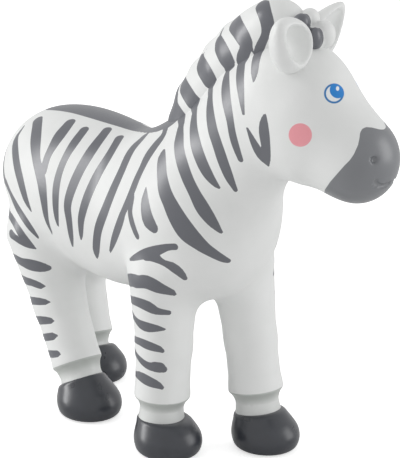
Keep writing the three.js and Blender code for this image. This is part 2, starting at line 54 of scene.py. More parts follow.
Form = Callable[[np.ndarray], np.ndarray]
Pixels = Sequence[tuple[float, ...]]

MM = 0.001
FIGURE_SHIFT = np.array([-62.698, 0.121, 0.0])
UPRIGHT = np.eye(3)
SKIN_CELL = 0.6
# Cells kept free round a form, and how often its skin is evened out
SKIN_MARGIN, SKIN_ROUNDS = 2, 2
# Points on a curve for each one that is given
CURVE_STEPS = 8
# Least divisor, closest distance and least squared steepness
TINY, TOUCH, FLATTEST = 1e-9, 1e-6, 0.05
# Depth given to points that no ink reaches, and a distance beyond all others
FAR_OUTSIDE, NOWHERE_NEAR = -2.0, 1e9
# Noise seldom leaves this range
NOISE_LOW, NOISE_HIGH = 0.3, 0.7
# The Mix node's sockets share their names, so its colour ones are picked by number
MIX_FIRST, MIX_SECOND, MIX_RESULT = 6, 7, 2


class Side(Enum):
    """The animal's own sides."""

    RIGHT = -1
    LEFT = 1


class Region(Enum):
    """Parts of the figure that mirror their print in their own way."""

    BODY = "body"
    FORE_LEGS = "fore legs"
    HIND_LEGS = "hind legs"


# Forms: signed distances in millimetres, less than zero inside


def smooth_least(a: np.ndarray, b: np.ndarray, rounding: float) -> np.ndarray:
    """Least of two distances, rounded where they meet.

    Args:
        a: Distances of one form.
        b: Distances of the other.
        rounding: Width of the rounded crease.

    Returns:
        Distances of both forms joined.
    """
    near = np.maximum(rounding - np.abs(a - b), 0) / rounding
    return np.minimum(a, b) - near * near * rounding / 4


@dataclass(frozen=True)
class Egg:
    """An egg with three half sizes along three axes."""

    centre: np.ndarray
    half: Sequence[float]
    axes: np.ndarray = field(default_factory=lambda: UPRIGHT)

    def __call__(self, points: np.ndarray) -> np.ndarray:
        """Distances from the egg's skin.

        Args:
            points: Places in the figure's millimetres, as rows.

        Returns:
            One distance for each point, less than zero inside.
        """
        half = np.asarray(self.half, float)
        local = (points - self.centre) @ self.axes.T
        near = np.sqrt(((local / half) ** 2).sum(1))
        steep = np.sqrt(((local / half**2) ** 2).sum(1))
        return np.where(near < TOUCH, -half.min(), near * (near - 1) / np.maximum(steep, TINY))


@dataclass(frozen=True)
class Rod:
    """A rod with round ends that swells or tapers; flatness narrows it sideways."""

    start: np.ndarray
    end: np.ndarray
    start_radius: float
    end_radius: float
    flatness: float = 1.0

    def __call__(self, points: np.ndarray) -> np.ndarray:
        """Distances from the rod's skin.

        Args:
            points: Places in the figure's millimetres, as rows.

        Returns:
            One distance for each point, less than zero inside.
        """
        run = self.end - self.start
        share = np.clip((points - self.start) @ run / (run @ run), 0, 1)
        off = (points - self.start - share[:, None] * run) / (1, self.flatness, 1)
        radius = self.start_radius + share * (self.end_radius - self.start_radius)
        return (np.sqrt((off * off).sum(1)) - radius) * self.flatness


@dataclass(frozen=True)
class Blend:
    """Forms joined with a rounded crease."""

    rounding: float
    parts: tuple[Form, ...]

    def __call__(self, points: np.ndarray) -> np.ndarray:
        """Distances from the joined skin.

        Args:
            points: Places in the figure's millimetres, as rows.

        Returns:
            One distance for each point, less than zero inside.
        """
        least = self.parts[0](points)
        for part in self.parts[1:]:
            least = smooth_least(least, part(points), self.rounding)
        return least


@dataclass(frozen=True)
class Carve:
    """A form cut by others, with rounded edges."""

    body: Form
    cutters: tuple[Form, ...]
    rounding: float

    def __call__(self, points: np.ndarray) -> np.ndarray:
        """Distances from what is left of the body.

        Args:
            points: Places in the figure's millimetres, as rows.

        Returns:
            One distance for each point, less than zero inside.
        """
        left = -self.body(points)
        for cutter in self.cutters:
            left = smooth_least(left, cutter(points), self.rounding)
        return -left


@dataclass(frozen=True)
class Beyond:
    """The side of a plane that its normal points to."""

    at: np.ndarray
    normal: np.ndarray

    def __call__(self, points: np.ndarray) -> np.ndarray:
        """Distances from the plane, less than zero beyond it."""
        return (self.at - points) @ self.normal


def slope(form: Form, points: np.ndarray, step: float = 0.02) -> np.ndarray:
    """Direction and steepness of a form.

    Args:
        form: The form.
        points: Where it is felt.
        step: Half the distance between the two tries of each direction.

    Returns:
        One vector for each point, which points outwards.
    """
    tries = [form(points + step * axis) - form(points - step * axis) for axis in UPRIGHT]
    return np.stack(tries, 1) / (2 * step)


def settle(form: Form, points: np.ndarray, reach: float = 1.0, rounds: int = 3) -> np.ndarray:
    """Moves points onto the skin of a form.

    Args:
        form: The form.
        points: Points near its skin.
        reach: The most that a point moves in one round.
        rounds: How often each point is moved.

    Returns:
        The points on the skin.
    """
    for _ in range(rounds):
        steep = slope(form, points)
        away = form(points) / np.maximum((steep * steep).sum(1), FLATTEST)
        points = points - np.clip(away, -reach, reach)[:, None] * steep
    return points


def unit(vector: np.ndarray) -> np.ndarray:
    """A vector, or rows of them, at length one."""
    return vector / np.maximum(np.linalg.norm(vector, axis=-1, keepdims=True), TINY)


def polar(azimuth: float, elevation: float = 0.0) -> np.ndarray:
    """A direction from a turn to the left of +X and a rise above level, both in degrees."""
    turn, rise = math.radians(azimuth), math.radians(elevation)
    return np.array([math.cos(rise) * math.cos(turn), math.cos(rise) * math.sin(turn), math.sin(rise)])


# Skins: closed meshes wrapped round a form


@dataclass
class Skin:
    """Points in the figure's own millimetres, and the quads that join them."""

    points: np.ndarray
    quads: np.ndarray

    @classmethod
    def wrap(cls, form: Form, low: Sequence[float], high: Sequence[float], cell: float) -> "Skin":
        """Wraps a form in one point for each cell that its skin crosses.

        Args:
            form: The form.
            low: Lowest corner of the box that holds it.
            high: Highest corner.
            cell: Size of the cells.

        Returns:
            The closed skin, evened out and settled on the form.
        """
        margin = SKIN_MARGIN * cell
        start = np.asarray(low, float) - margin
        count = np.ceil((np.asarray(high, float) + margin - start) / cell).astype(int) + 1
        values = cls.sample(form, start, count, cell)
        inside = values < 0
        corners = np.array([(n & 1, (n >> 1) & 1, n >> 2) for n in range(8)])
        window = [slice(0, -1), slice(1, None)]
        held = sum(inside[window[a], window[b], window[c]].astype(np.int8) for a, b, c in corners)
        cells = np.argwhere((held > 0) & (held < 8))
        number = np.full(held.shape, -1)
        number[tuple(cells.T)] = np.arange(len(cells))
        middle = np.zeros((len(cells), 3))
        crossings = np.zeros(len(cells))
        for a in range(8):
            for b in range(a + 1, 8):
                if np.abs(corners[a] - corners[b]).sum() != 1:
                    continue
                first, second = cells + corners[a], cells + corners[b]
                before, after = values[tuple(first.T)], values[tuple(second.T)]
                crossed = (before < 0) != (after < 0)
                share = before[crossed] / (before[crossed] - after[crossed])
                middle[crossed] += first[crossed] + share[:, None] * (second - first)[crossed]
                crossings[crossed] += 1
        quads = []
        for axis in range(3):
            across, along = (axis + 1) % 3, (axis + 2) % 3
            near, far = [slice(1, -1)] * 3, [slice(1, -1)] * 3
            near[axis], far[axis] = slice(0, -1), slice(1, None)
            one, other = inside[tuple(near)], inside[tuple(far)]
            for flipped, found in ((False, one & ~other), (True, ~one & other)):
                corner = np.argwhere(found)
                corner[:, [across, along]] += 1
                around = []
                for back_across, back_along in ((1, 1), (0, 1), (0, 0), (1, 0)):
                    moved = corner.copy()
                    moved[:, across] -= back_across
                    moved[:, along] -= back_along
                    around.append(number[tuple(moved.T)])
                quads.append(np.stack(around[::-1] if flipped else around, 1))
        skin = cls(start + cell * middle / crossings[:, None], np.concatenate(quads))
        for _ in range(SKIN_ROUNDS):
            skin.relax()
            skin.points = settle(form, skin.points, cell)
        return skin

    @staticmethod
    def sample(form: Form, start: np.ndarray, count: np.ndarray, cell: float) -> np.ndarray:
        """Values of a form on a grid, worked out in full only near its skin.

        Args:
            form: The form.
            start: First point of the grid.
            count: Points along each axis.
            cell: Distance between points.

        Returns:
            The grid of values, of which those far from the skin only have the right sign.
        """
        block, close_blocks = 4, 2.2
        blocks = -(-count // block)
        grid = np.stack(np.meshgrid(*(np.arange(n + 1) for n in blocks), indexing="ij"), -1)
        rough = form(start + block * cell * grid.reshape(-1, 3)).reshape(grid.shape[:3])
        close = np.abs(rough) < close_blocks * block * cell
        window = [slice(0, -1), slice(1, None)]
        fine = np.zeros(tuple(blocks), bool)
        for n in range(8):
            fine |= close[window[n & 1], window[(n >> 1) & 1], window[n >> 2]]
        trim = tuple(slice(0, n) for n in count)
        ones = np.ones((block,) * 3)
        values = np.kron(rough[:-1, :-1, :-1], ones)[trim]
        where = np.argwhere(np.kron(fine, ones)[trim] > 0)
        values[tuple(where.T)] = form(start + cell * where)
        return values

    def relax(self) -> None:
        """Draws each point halfway to the middle of its neighbours."""
        sums, counts = np.zeros_like(self.points), np.zeros(len(self.points))
        for corner in range(4):
            a, b = self.quads[:, corner], self.quads[:, (corner + 1) % 4]
            for one, other in ((a, b), (b, a)):
                counts += np.bincount(one, minlength=len(counts))
                for axis in range(3):
                    sums[:, axis] += np.bincount(one, self.points[other, axis], len(counts))
        self.points = (self.points + sums / np.maximum(counts, 1)[:, None]) / 2

    def to_bmesh(self) -> bmesh.types.BMesh:
        """The skin as a bmesh, still in the figure's millimetres.

        Returns:
            The bmesh, which its user frees.
        """
        mesh = bpy.data.meshes.new("skin")
        mesh.from_pydata(self.points.tolist(), [], self.quads.tolist())
        work = bmesh.new()
        work.from_mesh(mesh)
        bpy.data.meshes.remove(mesh)
        return work


@dataclass(frozen=True)
class Cut:
    """A level cut through a skin that keeps the side its normal points to."""

    at: np.ndarray
    normal: np.ndarray

    def apply(self, work: bmesh.types.BMesh) -> None:
        """Cuts the mesh and leaves it open at the plane.

        Args:
            work: The mesh.
        """
        geometry = work.verts[:] + work.edges[:] + work.faces[:]
        bmesh.ops.bisect_plane(
            work, geom=geometry, dist=TOUCH, plane_co=self.at, plane_no=self.normal, clear_inner=True
        )


def piece_from(name: str, work: bmesh.types.BMesh, form: Form) -> bpy.types.Object:
    """Makes an object from a cut skin: caps it, smooths it and puts it in the record's frame.

    Args:
        name: Name of the piece.
        work: The skin, in the figure's millimetres; it is freed here.
        form: The form whose slope gives the shading.

    Returns:
        The object, at the origin, in metres.
    """
    rim = [edge for edge in work.edges if edge.is_boundary]
    caps = set(bmesh.ops.holes_fill(work, edges=rim, sides=0)["faces"]) if rim else set()
    cap_numbers = {number for number, face in enumerate(work.faces) if face in caps}
    mesh = bpy.data.meshes.new(name)
    work.to_mesh(mesh)
    work.free()
    points = mesh_points(mesh)
    outward = unit(slope(form, points))
    corners = np.zeros(len(mesh.loops), np.int32)
    mesh.loops.foreach_get("vertex_index", corners)
    normals = outward[corners]
    for number in cap_numbers:
        polygon = mesh.polygons[number]
        normals[polygon.loop_start : polygon.loop_start + polygon.loop_total] = polygon.normal
    placed = (points + FIGURE_SHIFT) * MM
    mesh.vertices.foreach_set("co", placed.astype(np.float32).ravel())
    mesh.polygons.foreach_set("use_smooth", np.ones(len(mesh.polygons), bool))
    mesh.normals_split_custom_set(normals.tolist())
    mesh.update()
    piece = bpy.data.objects.new(name, mesh)
    bpy.context.scene.collection.objects.link(piece)
    return piece


def mesh_points(mesh: bpy.types.Mesh) -> np.ndarray:
    """The points of a mesh as rows.

    Args:
        mesh: The mesh.

    Returns:
        One row for each point.
    """
    flat = np.zeros(len(mesh.vertices) * 3, np.float32)
    mesh.vertices.foreach_get("co", flat)
    return flat.reshape(-1, 3).astype(float)


def figure_points(piece: bpy.types.Object) -> np.ndarray:
    """The points of a placed piece in the figure's own millimetres."""
    return mesh_points(piece.data) / MM - FIGURE_SHIFT


def keep_numbers(piece: bpy.types.Object, name: str, numbers: np.ndarray) -> None:
    """Keeps a number, or three, at each point of a piece for its material.

    Args:
        piece: The piece.
        name: Name of the attribute.
        numbers: One row for each point.
    """
    triple = numbers.ndim == 2
    kept = piece.data.attributes.new(name, "FLOAT_VECTOR" if triple else "FLOAT", "POINT")
    kept.data.foreach_set("vector" if triple else "value", numbers.astype(np.float32).ravel())


def hand_over(piece: bpy.types.Object, nodes: Sequence[str], slot: str) -> None:
    """Rides a piece on the figure's one body, in place of CAD nodes, and reports it.

    Args:
        piece: The finished piece.
        nodes: CAD nodes that it stands for.
        slot: The record's material slot; not used.
    """
    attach(piece, "root")
    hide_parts(*nodes)
    log.info("%s: %d faces, stands for %s", piece.name, len(piece.data.polygons), ", ".join(nodes))


# Places on the figure


@dataclass(frozen=True)
class Layout:
    """Main sizes of the figure, which every place on it is a share of."""

    trunk_length: float = 93.0
    trunk_width: float = 37.0
    trunk_depth: float = 44.5
    belly_height: float = 35.5
    neck_root: tuple[float, float] = (0.774, 0.163)
    neck_length: float = 38.5
    neck_depth: float = 27.0
    neck_lean: float = 44.5
    head_length: float = 38.0
    head_depth: float = 34.0
    head_width: float = 23.2
    head_turn: float = 18.0

    @cached_property
    def neck_axis(self) -> np.ndarray:
        """Direction along the neck, towards the head."""
        return polar(0, self.neck_lean)

    @cached_property
    def neck_back(self) -> np.ndarray:
        """Direction from the neck's line to the nape."""
        return np.array([-self.neck_axis[2], 0, self.neck_axis[0]])

    @cached_property
    def head_axes(self) -> np.ndarray:
        """Forward, left and up of the turned head, as rows."""
        return np.array([polar(self.head_turn), polar(self.head_turn + 90), (0, 0, 1)])

    @cached_property
    def head_origin(self) -> np.ndarray:
        """Where the head turns on the neck."""
        return self.on_neck(1, 0)

    def on_trunk(self, along: float, up: float) -> np.ndarray:
        """A point of the trunk, in shares of its length and depth."""
        middle = self.belly_height + self.trunk_depth / 2
        return np.array([along * self.trunk_length, 0, middle + up * self.trunk_depth])

    def on_neck(self, along: float, off: float) -> np.ndarray:
        """A point of the neck, in shares of its length and depth."""
        rise = along * self.neck_length * self.neck_axis
        return self.on_trunk(*self.neck_root) + rise + off * self.neck_depth * self.neck_back

    def on_head(self, along: float, side: float, up: float) -> np.ndarray:
        """A point of the head, in shares of its length, width and depth."""
        local = np.array([along * self.head_length, side * self.head_width, up * self.head_depth])
        return self.head_origin + local @ self.head_axes

    def in_head(self, points: np.ndarray) -> np.ndarray:
        """Points in the head's own frame."""
        return (points - self.head_origin) @ self.head_axes.T

    def mirrored_head(self, points: np.ndarray) -> np.ndarray:
        """Points mirrored across the head's own middle."""
        return self.head_origin + (self.in_head(points) * (1, -1, 1)) @ self.head_axes


def pitched(axes: np.ndarray, pitch: float) -> np.ndarray:
    """Three axes, of which the first dips by a pitch in degrees."""
    c, s = math.cos(math.radians(pitch)), math.sin(math.radians(pitch))
    return np.array([[c, 0, -s], [0, 1, 0], [s, 0, c]]) @ axes


@dataclass(frozen=True)
class Bulge:
    """An egg given in shares of what it belongs to, with a dip in degrees."""

    along: float
    up: float
    length: float
    width: float
    depth: float
    pitch: float = 0.0

    def egg(self, centre: np.ndarray, sizes: Sequence[float], axes: np.ndarray) -> Egg:
        """The egg itself, round a centre, from the sizes and axes of what it belongs to."""
        half = (self.length * sizes[0], self.width * sizes[1], self.depth * sizes[2])
        return Egg(centre, half, pitched(axes, self.pitch))


# The view that the print was drawn in


@dataclass(frozen=True)
class MainView:
    """The main camera, in the figure's millimetres and in pixels of the picture."""

    azimuth: float = 50.0
    distance: float = 423.0
    height: float = 176.0
    target: tuple[float, float, float] = (68.0, 4.7, 54.5)
    focal: float = 1741.0
    width: int = 400
    tall: int = 458
    sensor: float = 24.0
    clip: tuple[float, float] = (0.01, 20.0)
    clear_reach: float = 110.0
    landing_steps: int = 160
    landing_pace: float = 0.7
    least_step: float = 0.05
    landed_gap: float = 0.02

    @cached_property
    def eye(self) -> np.ndarray:
        """Where the camera stands.

        Returns:
            The place, in the figure's millimetres.
        """
        a = math.radians(self.azimuth)
        x, y, _ = self.target
        return np.array([x + self.distance * math.sin(a), y - self.distance * math.cos(a), self.height])

    @cached_property
    def axes(self) -> np.ndarray:
        """Right, up and forward of the camera, as rows.

        Returns:
            Three directions.
        """
        forward = unit(np.asarray(self.target) - self.eye)
        right = unit(np.cross(forward, (0, 0, 1)))
        return np.array([right, np.cross(right, forward), forward])

    def project(self, points: np.ndarray) -> np.ndarray:
        """Pixels at which points show.

        Args:
            points: Places in the figure's millimetres, as rows.

        Returns:
            Across and down, as rows.
        """
        local = (points - self.eye) @ self.axes.T
        scaled = self.focal * local[:, :2] / local[:, 2:]
        return np.array([self.width / 2, self.tall / 2]) + scaled * (1, -1)

    def land(self, pixels: np.ndarray, form: Form) -> np.ndarray:
        """Points of a form that show at pixels.

        Args:
            pixels: Places in the picture.
            form: The form; a pixel beside it lands on its nearest rim.

        Returns:
            One point for each pixel.
        """
        offsets = (np.asarray(pixels, float) - (self.width / 2, self.tall / 2)) * (1, -1) / self.focal
        rays = unit(np.column_stack([offsets, np.ones(len(offsets))]) @ self.axes)
        travel = np.full(len(rays), self.distance - self.clear_reach)
        nearest = np.full(len(rays), NOWHERE_NEAR)
        found = np.zeros_like(rays)
        for _ in range(self.landing_steps):
            points = self.eye + travel[:, None] * rays
            gap = form(points)
            closer = gap < nearest
            found[closer], nearest[closer] = points[closer], gap[closer]
            step = np.maximum(self.landing_pace * gap, self.least_step)
            travel = travel + np.where(nearest > self.landed_gap, step, 0)
        return settle(form, found)

    def millimetres(self, pixels: np.ndarray) -> np.ndarray:
        """Lengths in pixels, at the distance of the camera's target."""
        return pixels * self.distance / self.focal

    def place_camera(self) -> None:
        """Puts a camera where this view stands."""
        camera = bpy.data.cameras.new("main_camera")
        camera.sensor_fit = "VERTICAL"
        camera.sensor_height = self.sensor
        camera.lens = self.focal / self.tall * self.sensor
        camera.clip_start, camera.clip_end = self.clip
        stand = bpy.data.objects.new("main_camera", camera)
        stand.location = (self.eye + FIGURE_SHIFT) * MM
        back = self.axes * np.array([[1], [1], [-1]])
        stand.rotation_euler = Matrix(back.T.tolist()).to_euler()
        bpy.context.scene.collection.objects.link(stand)
        bpy.context.scene.camera = stand


# Finishes


def linear(code: str) -> tuple[float, float, float, float]:
    """Turns an sRGB hex colour into linear values.

    Args:
        code: The colour, as #rrggbb.

    Returns:
        Linear red, green, blue and an alpha of one.
    """
    channels = [int(code[n : n + 2], 16) / 255 for n in (1, 3, 5)]
    toned = [c / 12.92 if c <= 0.04045 else ((c + 0.055) / 1.055) ** 2.4 for c in channels]
    return (*toned, 1.0)


def add_node(
    tree: bpy.types.NodeTree, kind: str, inputs: dict | None = None, **settings: object
) -> bpy.types.Node:
    """Adds a node with its settings, values and links.

    Args:
        tree: The node tree.
        kind: Type of the node.
        inputs: Values or output sockets, by name or number of the input.
        settings: Properties of the node.

    Returns:
        The node.
    """
    node = tree.nodes.new(kind)
    for name, value in settings.items():
        setattr(node, name, value)
    for key, value in (inputs or {}).items():
        if isinstance(value, bpy.types.NodeSocket):
            tree.links.new(value, node.inputs[key])
        else:
            node.inputs[key].default_value = value
    return node


def emptied(owner: bpy.types.Material | bpy.types.World) -> bpy.types.NodeTree:
    """Clears the nodes of a new material or world.

    Args:
        owner: The material or world.

    Returns:
        Its node tree, with nothing in it.
    """
    owner.use_nodes = True
    owner.node_tree.nodes.clear()
    return owner.node_tree


@dataclass(frozen=True)
class Ink:
    """One printed colour, which shows where its attribute is above zero.

    One with a fade fades between two depths to a share of its strength.
    """

    attribute: str
    colour: str
    edge: float = 0.05
    fade: tuple[float, float, float] | None = None


@dataclass(frozen=True)
class Disc:
    """A printed disc of an eye, in shares of the eye's own radius."""

    colour: str
    radius: float
    middle: tuple[float, float, float] = (0.0, 0.0, 0.0)
    stretch: tuple[float, float, float] = (1.0, 1.0, 1.0)


@dataclass(frozen=True)
class EyeInk:
    """A printed eye: a blue ring, an iris in its upper front and a white glint."""

    attribute: str = "eye"
    softness: float = 0.04
    ring: Disc = Disc("#1e74b4", 1.0)
    white: Disc = Disc("#eef1f2", 0.8)
    iris: Disc = Disc("#0f80d0", 0.83, (0.4, 0.35, 0.0))
    glint: Disc = Disc("#f2f5f7", 0.2, (0.36, 0.5, 0.0), (1.25, 0.9, 1.0))

    def paint(self, tree: bpy.types.NodeTree, colour: bpy.types.NodeSocket) -> bpy.types.NodeSocket:
        """Draws the eye over a colour.

        Args:
            tree: The material's nodes.
            colour: What lies under the eye.

        Returns:
            The colour with the eye on it.
        """
        place = add_node(tree, "ShaderNodeAttribute", attribute_name=self.attribute).outputs["Vector"]
        whole = None
        for disc in (self.ring, self.white, self.iris, self.glint):
            off = place
            for work, value in (("SUBTRACT", disc.middle), ("MULTIPLY", disc.stretch)):
                off = add_node(tree, "ShaderNodeVectorMath", {0: off, 1: value}, operation=work).outputs[0]
            off = add_node(tree, "ShaderNodeVectorMath", {0: off}, operation="LENGTH").outputs["Value"]
            edge = {0: off, 1: disc.radius + self.softness, 2: disc.radius - self.softness}
            mask = add_node(tree, "ShaderNodeMapRange", edge).outputs[0]
            if disc is self.iris:
                # The iris reaches past the ring, which trims it
                mask = add_node(tree, "ShaderNodeMath", {0: mask, 1: whole}, operation="MULTIPLY").outputs[0]
            whole = whole or mask
            mix = {0: mask, MIX_FIRST: colour, MIX_SECOND: linear(disc.colour)}
            colour = add_node(tree, "ShaderNodeMix", mix, data_type="RGBA").outputs[MIX_RESULT]
        return colour


@dataclass(frozen=True)
class MouldedPlastic:
    """Soft PVC, moulded in a fine-grained tool and printed with matt-satin inks.

    Widths and depths of its patterns are in millimetres.
    """

    name: str
    base: str = "#ecedec"
    pale: str = "#e2e4e2"
    mottle: float = 9.0
    mottle_detail: float = 3.0
    mottle_roughness: float = 0.55
    mottle_strength: float = 0.35
    roughness: float = 0.46
    ink_roughness: float = 0.34
    sheen: float = 0.5
    ink_sheen: float = 0.95
    ior: float = 1.5
    grain: float = 0.45
    grain_depth: float = 0.006
    grain_roughness: float = 0.03
    inks: tuple[Ink, ...] = ()
    eye: EyeInk | None = None

    def print_inks(
        self, tree: bpy.types.NodeTree, colour: bpy.types.NodeSocket
    ) -> tuple[bpy.types.NodeSocket, bpy.types.NodeSocket | None]:
        """Prints the inks over a colour, and the eye over them.

        Args:
            tree: The material's nodes.
            colour: The bare plastic's colour.

        Returns:
            The printed colour, and where there is ink, or None on bare plastic.
        """
        printed = None
        for ink in self.inks:
            # Printed edges are crisp, with the faint softness of a pad print
            kept = add_node(tree, "ShaderNodeAttribute", attribute_name=ink.attribute).outputs["Fac"]
            edge = {0: kept, 1: -ink.edge, 2: ink.edge}
            mask = add_node(tree, "ShaderNodeMapRange", edge, interpolation_type="SMOOTHSTEP").outputs[0]
            if ink.fade:
                start, end, least = ink.fade
                fade = {0: kept, 1: start, 2: end, 3: 1.0, 4: least}
                fade = add_node(tree, "ShaderNodeMapRange", fade, interpolation_type="SMOOTHSTEP").outputs[0]
                mask = add_node(tree, "ShaderNodeMath", {0: mask, 1: fade}, operation="MULTIPLY").outputs[0]
            mix = {0: mask, MIX_FIRST: colour, MIX_SECOND: linear(ink.colour)}
            colour = add_node(tree, "ShaderNodeMix", mix, data_type="RGBA").outputs[MIX_RESULT]
            printed = mask if printed is None else add_node(
                tree, "ShaderNodeMath", {0: printed, 1: mask}, operation="MAXIMUM"
            ).outputs[0]
        return (self.eye.paint(tree, colour) if self.eye else colour), printed

    def make(self) -> bpy.types.Material:
        """Builds the material.

        Returns:
            The material.
        """
        material = bpy.data.materials.new(self.name)
        tree = emptied(material)
        place = add_node(tree, "ShaderNodeTexCoord").outputs["Object"]
        # A broad, faint mottle, as thin pigment gives to white PVC
        broad = {
            "Vector": place, "Scale": 1 / (self.mottle * MM),
            "Detail": self.mottle_detail, "Roughness": self.mottle_roughness,
        }
        mottle = add_node(tree, "ShaderNodeTexNoise", broad).outputs["Fac"]
        shade = {0: mottle, 1: NOISE_LOW, 2: NOISE_HIGH, 3: 0.0, 4: self.mottle_strength}
        shade = add_node(tree, "ShaderNodeMapRange", shade).outputs[0]
        mix = {0: shade, MIX_FIRST: linear(self.base), MIX_SECOND: linear(self.pale)}
        colour = add_node(tree, "ShaderNodeMix", mix, data_type="RGBA").outputs[MIX_RESULT]
        colour, printed = self.print_inks(tree, colour)
        # The tool's fine grain, drawn at a width that just shows
        fine = {"Vector": place, "Scale": 1 / (self.grain * MM)}
        grain = add_node(tree, "ShaderNodeTexNoise", fine).outputs["Fac"]
        bump = add_node(tree, "ShaderNodeBump", {"Height": grain, "Distance": self.grain_depth * MM})
        spread = {0: grain, 1: NOISE_LOW, 2: NOISE_HIGH, 3: -self.grain_roughness, 4: self.grain_roughness}
        spread = add_node(tree, "ShaderNodeMapRange", spread).outputs[0]
        roughest = self.ink_roughness if printed else self.roughness + self.grain_roughness
        rough = {0: printed or mottle, 3: self.roughness, 4: roughest}
        rough = add_node(tree, "ShaderNodeMapRange", rough).outputs[0]
        rough = add_node(tree, "ShaderNodeMath", {0: rough, 1: spread}, operation="ADD").outputs[0]
        surface = {"Base Color": colour, "Roughness": rough, "Normal": bump.outputs["Normal"], "IOR": self.ior}
        if printed:
            # The ink's varnish reflects more than the bare plastic
            sheen = {0: printed, 3: self.sheen, 4: self.ink_sheen}
            surface["Specular IOR Level"] = add_node(tree, "ShaderNodeMapRange", sheen).outputs[0]
        shader = add_node(tree, "ShaderNodeBsdfPrincipled", surface)
        add_node(tree, "ShaderNodeOutputMaterial", {"Surface": shader.outputs[0]})
        return material


@dataclass(frozen=True)
class HoofPaint:
    """Dark gloss enamel, brushed on and levelled, over the moulded hoof."""

    name: str = "gloss_enamel_brushed"
    base: str = "#303238"
    thin: str = "#383b42"
    ripple: float = 3.0
    ripple_depth: float = 0.05
    roughness: tuple[float, float] = (0.27, 0.35)
    ior: float = 1.5
    coat: float = 0.4
    coat_roughness: float = 0.28

    def make(self) -> bpy.types.Material:
        """Builds the material.

        Returns:
            The material.
        """
        material = bpy.data.materials.new(self.name)
        tree = emptied(material)
        place = add_node(tree, "ShaderNodeTexCoord").outputs["Object"]
        # Enamel flows into shallow ripples a few millimetres wide
        ripple = {"Vector": place, "Scale": 1 / (self.ripple * MM)}
        ripple = add_node(tree, "ShaderNodeTexNoise", ripple).outputs["Fac"]
        bump = add_node(tree, "ShaderNodeBump", {"Height": ripple, "Distance": self.ripple_depth * MM})
        smooth, rough = self.roughness
        rough = {0: ripple, 1: NOISE_LOW, 2: NOISE_HIGH, 3: smooth, 4: rough}
        rough = add_node(tree, "ShaderNodeMapRange", rough).outputs[0]
        mix = {0: ripple, MIX_FIRST: linear(self.base), MIX_SECOND: linear(self.thin)}
        colour = add_node(tree, "ShaderNodeMix", mix, data_type="RGBA").outputs[MIX_RESULT]
        surface = {
            "Base Color": colour, "Roughness": rough, "Normal": bump.outputs["Normal"], "IOR": self.ior,
            "Coat Weight": self.coat, "Coat Roughness": self.coat_roughness,
        }
        shader = add_node(tree, "ShaderNodeBsdfPrincipled", surface)
        add_node(tree, "ShaderNodeOutputMaterial", {"Surface": shader.outputs[0]})
        return material


@dataclass(frozen=True)
class Finishes:
    """The figure's inks and finishes, each finish made when it is first asked for."""

    charcoal: Ink = Ink("stripe", "#5c5e65")
    # Grey on the pasterns, partly paint and partly painted shade under the cuff's overhang: full just below its
    # edge, fading to 0.3 lower down
    cuff: Ink = Ink("cuff", "#bdc1bd", 0.08, (1.4, 3.6, 0.3))
    muzzle: Ink = Ink("muzzle", "#77797d")
    cheek: Ink = Ink("cheek", "#f19ca5")
    tail_colour: str = "#54565c"

    @cached_property
    def body(self) -> bpy.types.Material:
        """The finish of the trunk, mane, forelock and ears."""
        return MouldedPlastic("pvc_moulded_striped", inks=(self.charcoal,)).make()

    @cached_property
    def leg(self) -> bpy.types.Material:
        """The finish of the legs, with grey below their cuffs: partly paint on the pasterns, partly painted
        shade under the cuffs' overhang.
        """
        return MouldedPlastic("pvc_moulded_striped_cuffed", inks=(self.charcoal, self.cuff)).make()

    @cached_property
    def head(self) -> bpy.types.Material:
        """The finish of the head, with its muzzle, cheeks and eyes."""
        inks = (self.charcoal, self.muzzle, self.cheek)
        return MouldedPlastic("pvc_moulded_printed_face", inks=inks, eye=EyeInk()).make()

    @cached_property
    def tail(self) -> bpy.types.Material:
        """The finish of the tail."""
        return MouldedPlastic("pvc_moulded_charcoal", base=self.tail_colour).make()

    @cached_property
    def hoof(self) -> bpy.types.Material:
        """The finish of the hooves."""
        return HoofPaint().make()


# Sub-assemblies


@dataclass(frozen=True)
class Torso:
    """The barrel of the trunk with the neck on it."""

    layout: Layout
    barrel_blend: float = 10.0
    neck_blend: float = 8.0
    neck_flatness: float = 0.86
    bulges: tuple[Bulge, ...] = (
        Bulge(0.252, 0.055, 0.258, 0.515, 0.43, 6),
        Bulge(0.48, -0.015, 0.3, 0.46, 0.475),
        Bulge(0.775, 0.045, 0.2, 0.48, 0.44),
        Bulge(0.845, 0.06, 0.14, 0.4, 0.38),
    )
    # Ends of each rod: shares of the neck's length and depth, and its radius as a share of the depth
    neck_rods: tuple[tuple[tuple[float, float, float], ...], ...] = (
        ((-0.04, 0.2, 0.46), (1.15, 0.16, 0.33)),
        ((0.04, -0.235, 0.45), (0.86, -0.075, 0.455)),
    )

    @cached_property
    def form(self) -> Form:
        """The trunk and neck as one form.

        Returns:
            The form.
        """
        on = self.layout
        sizes = (on.trunk_length, on.trunk_width, on.trunk_depth)
        eggs = tuple(b.egg(on.on_trunk(b.along, b.up), sizes, UPRIGHT) for b in self.bulges)
        rods = tuple(
            Rod(
                on.on_neck(*start[:2]), on.on_neck(*end[:2]),
                start[2] * on.neck_depth, end[2] * on.neck_depth, self.neck_flatness,
            )
            for start, end in self.neck_rods
        )
        return Blend(self.barrel_blend, (Blend(self.barrel_blend, eggs), Blend(self.neck_blend, rods)))


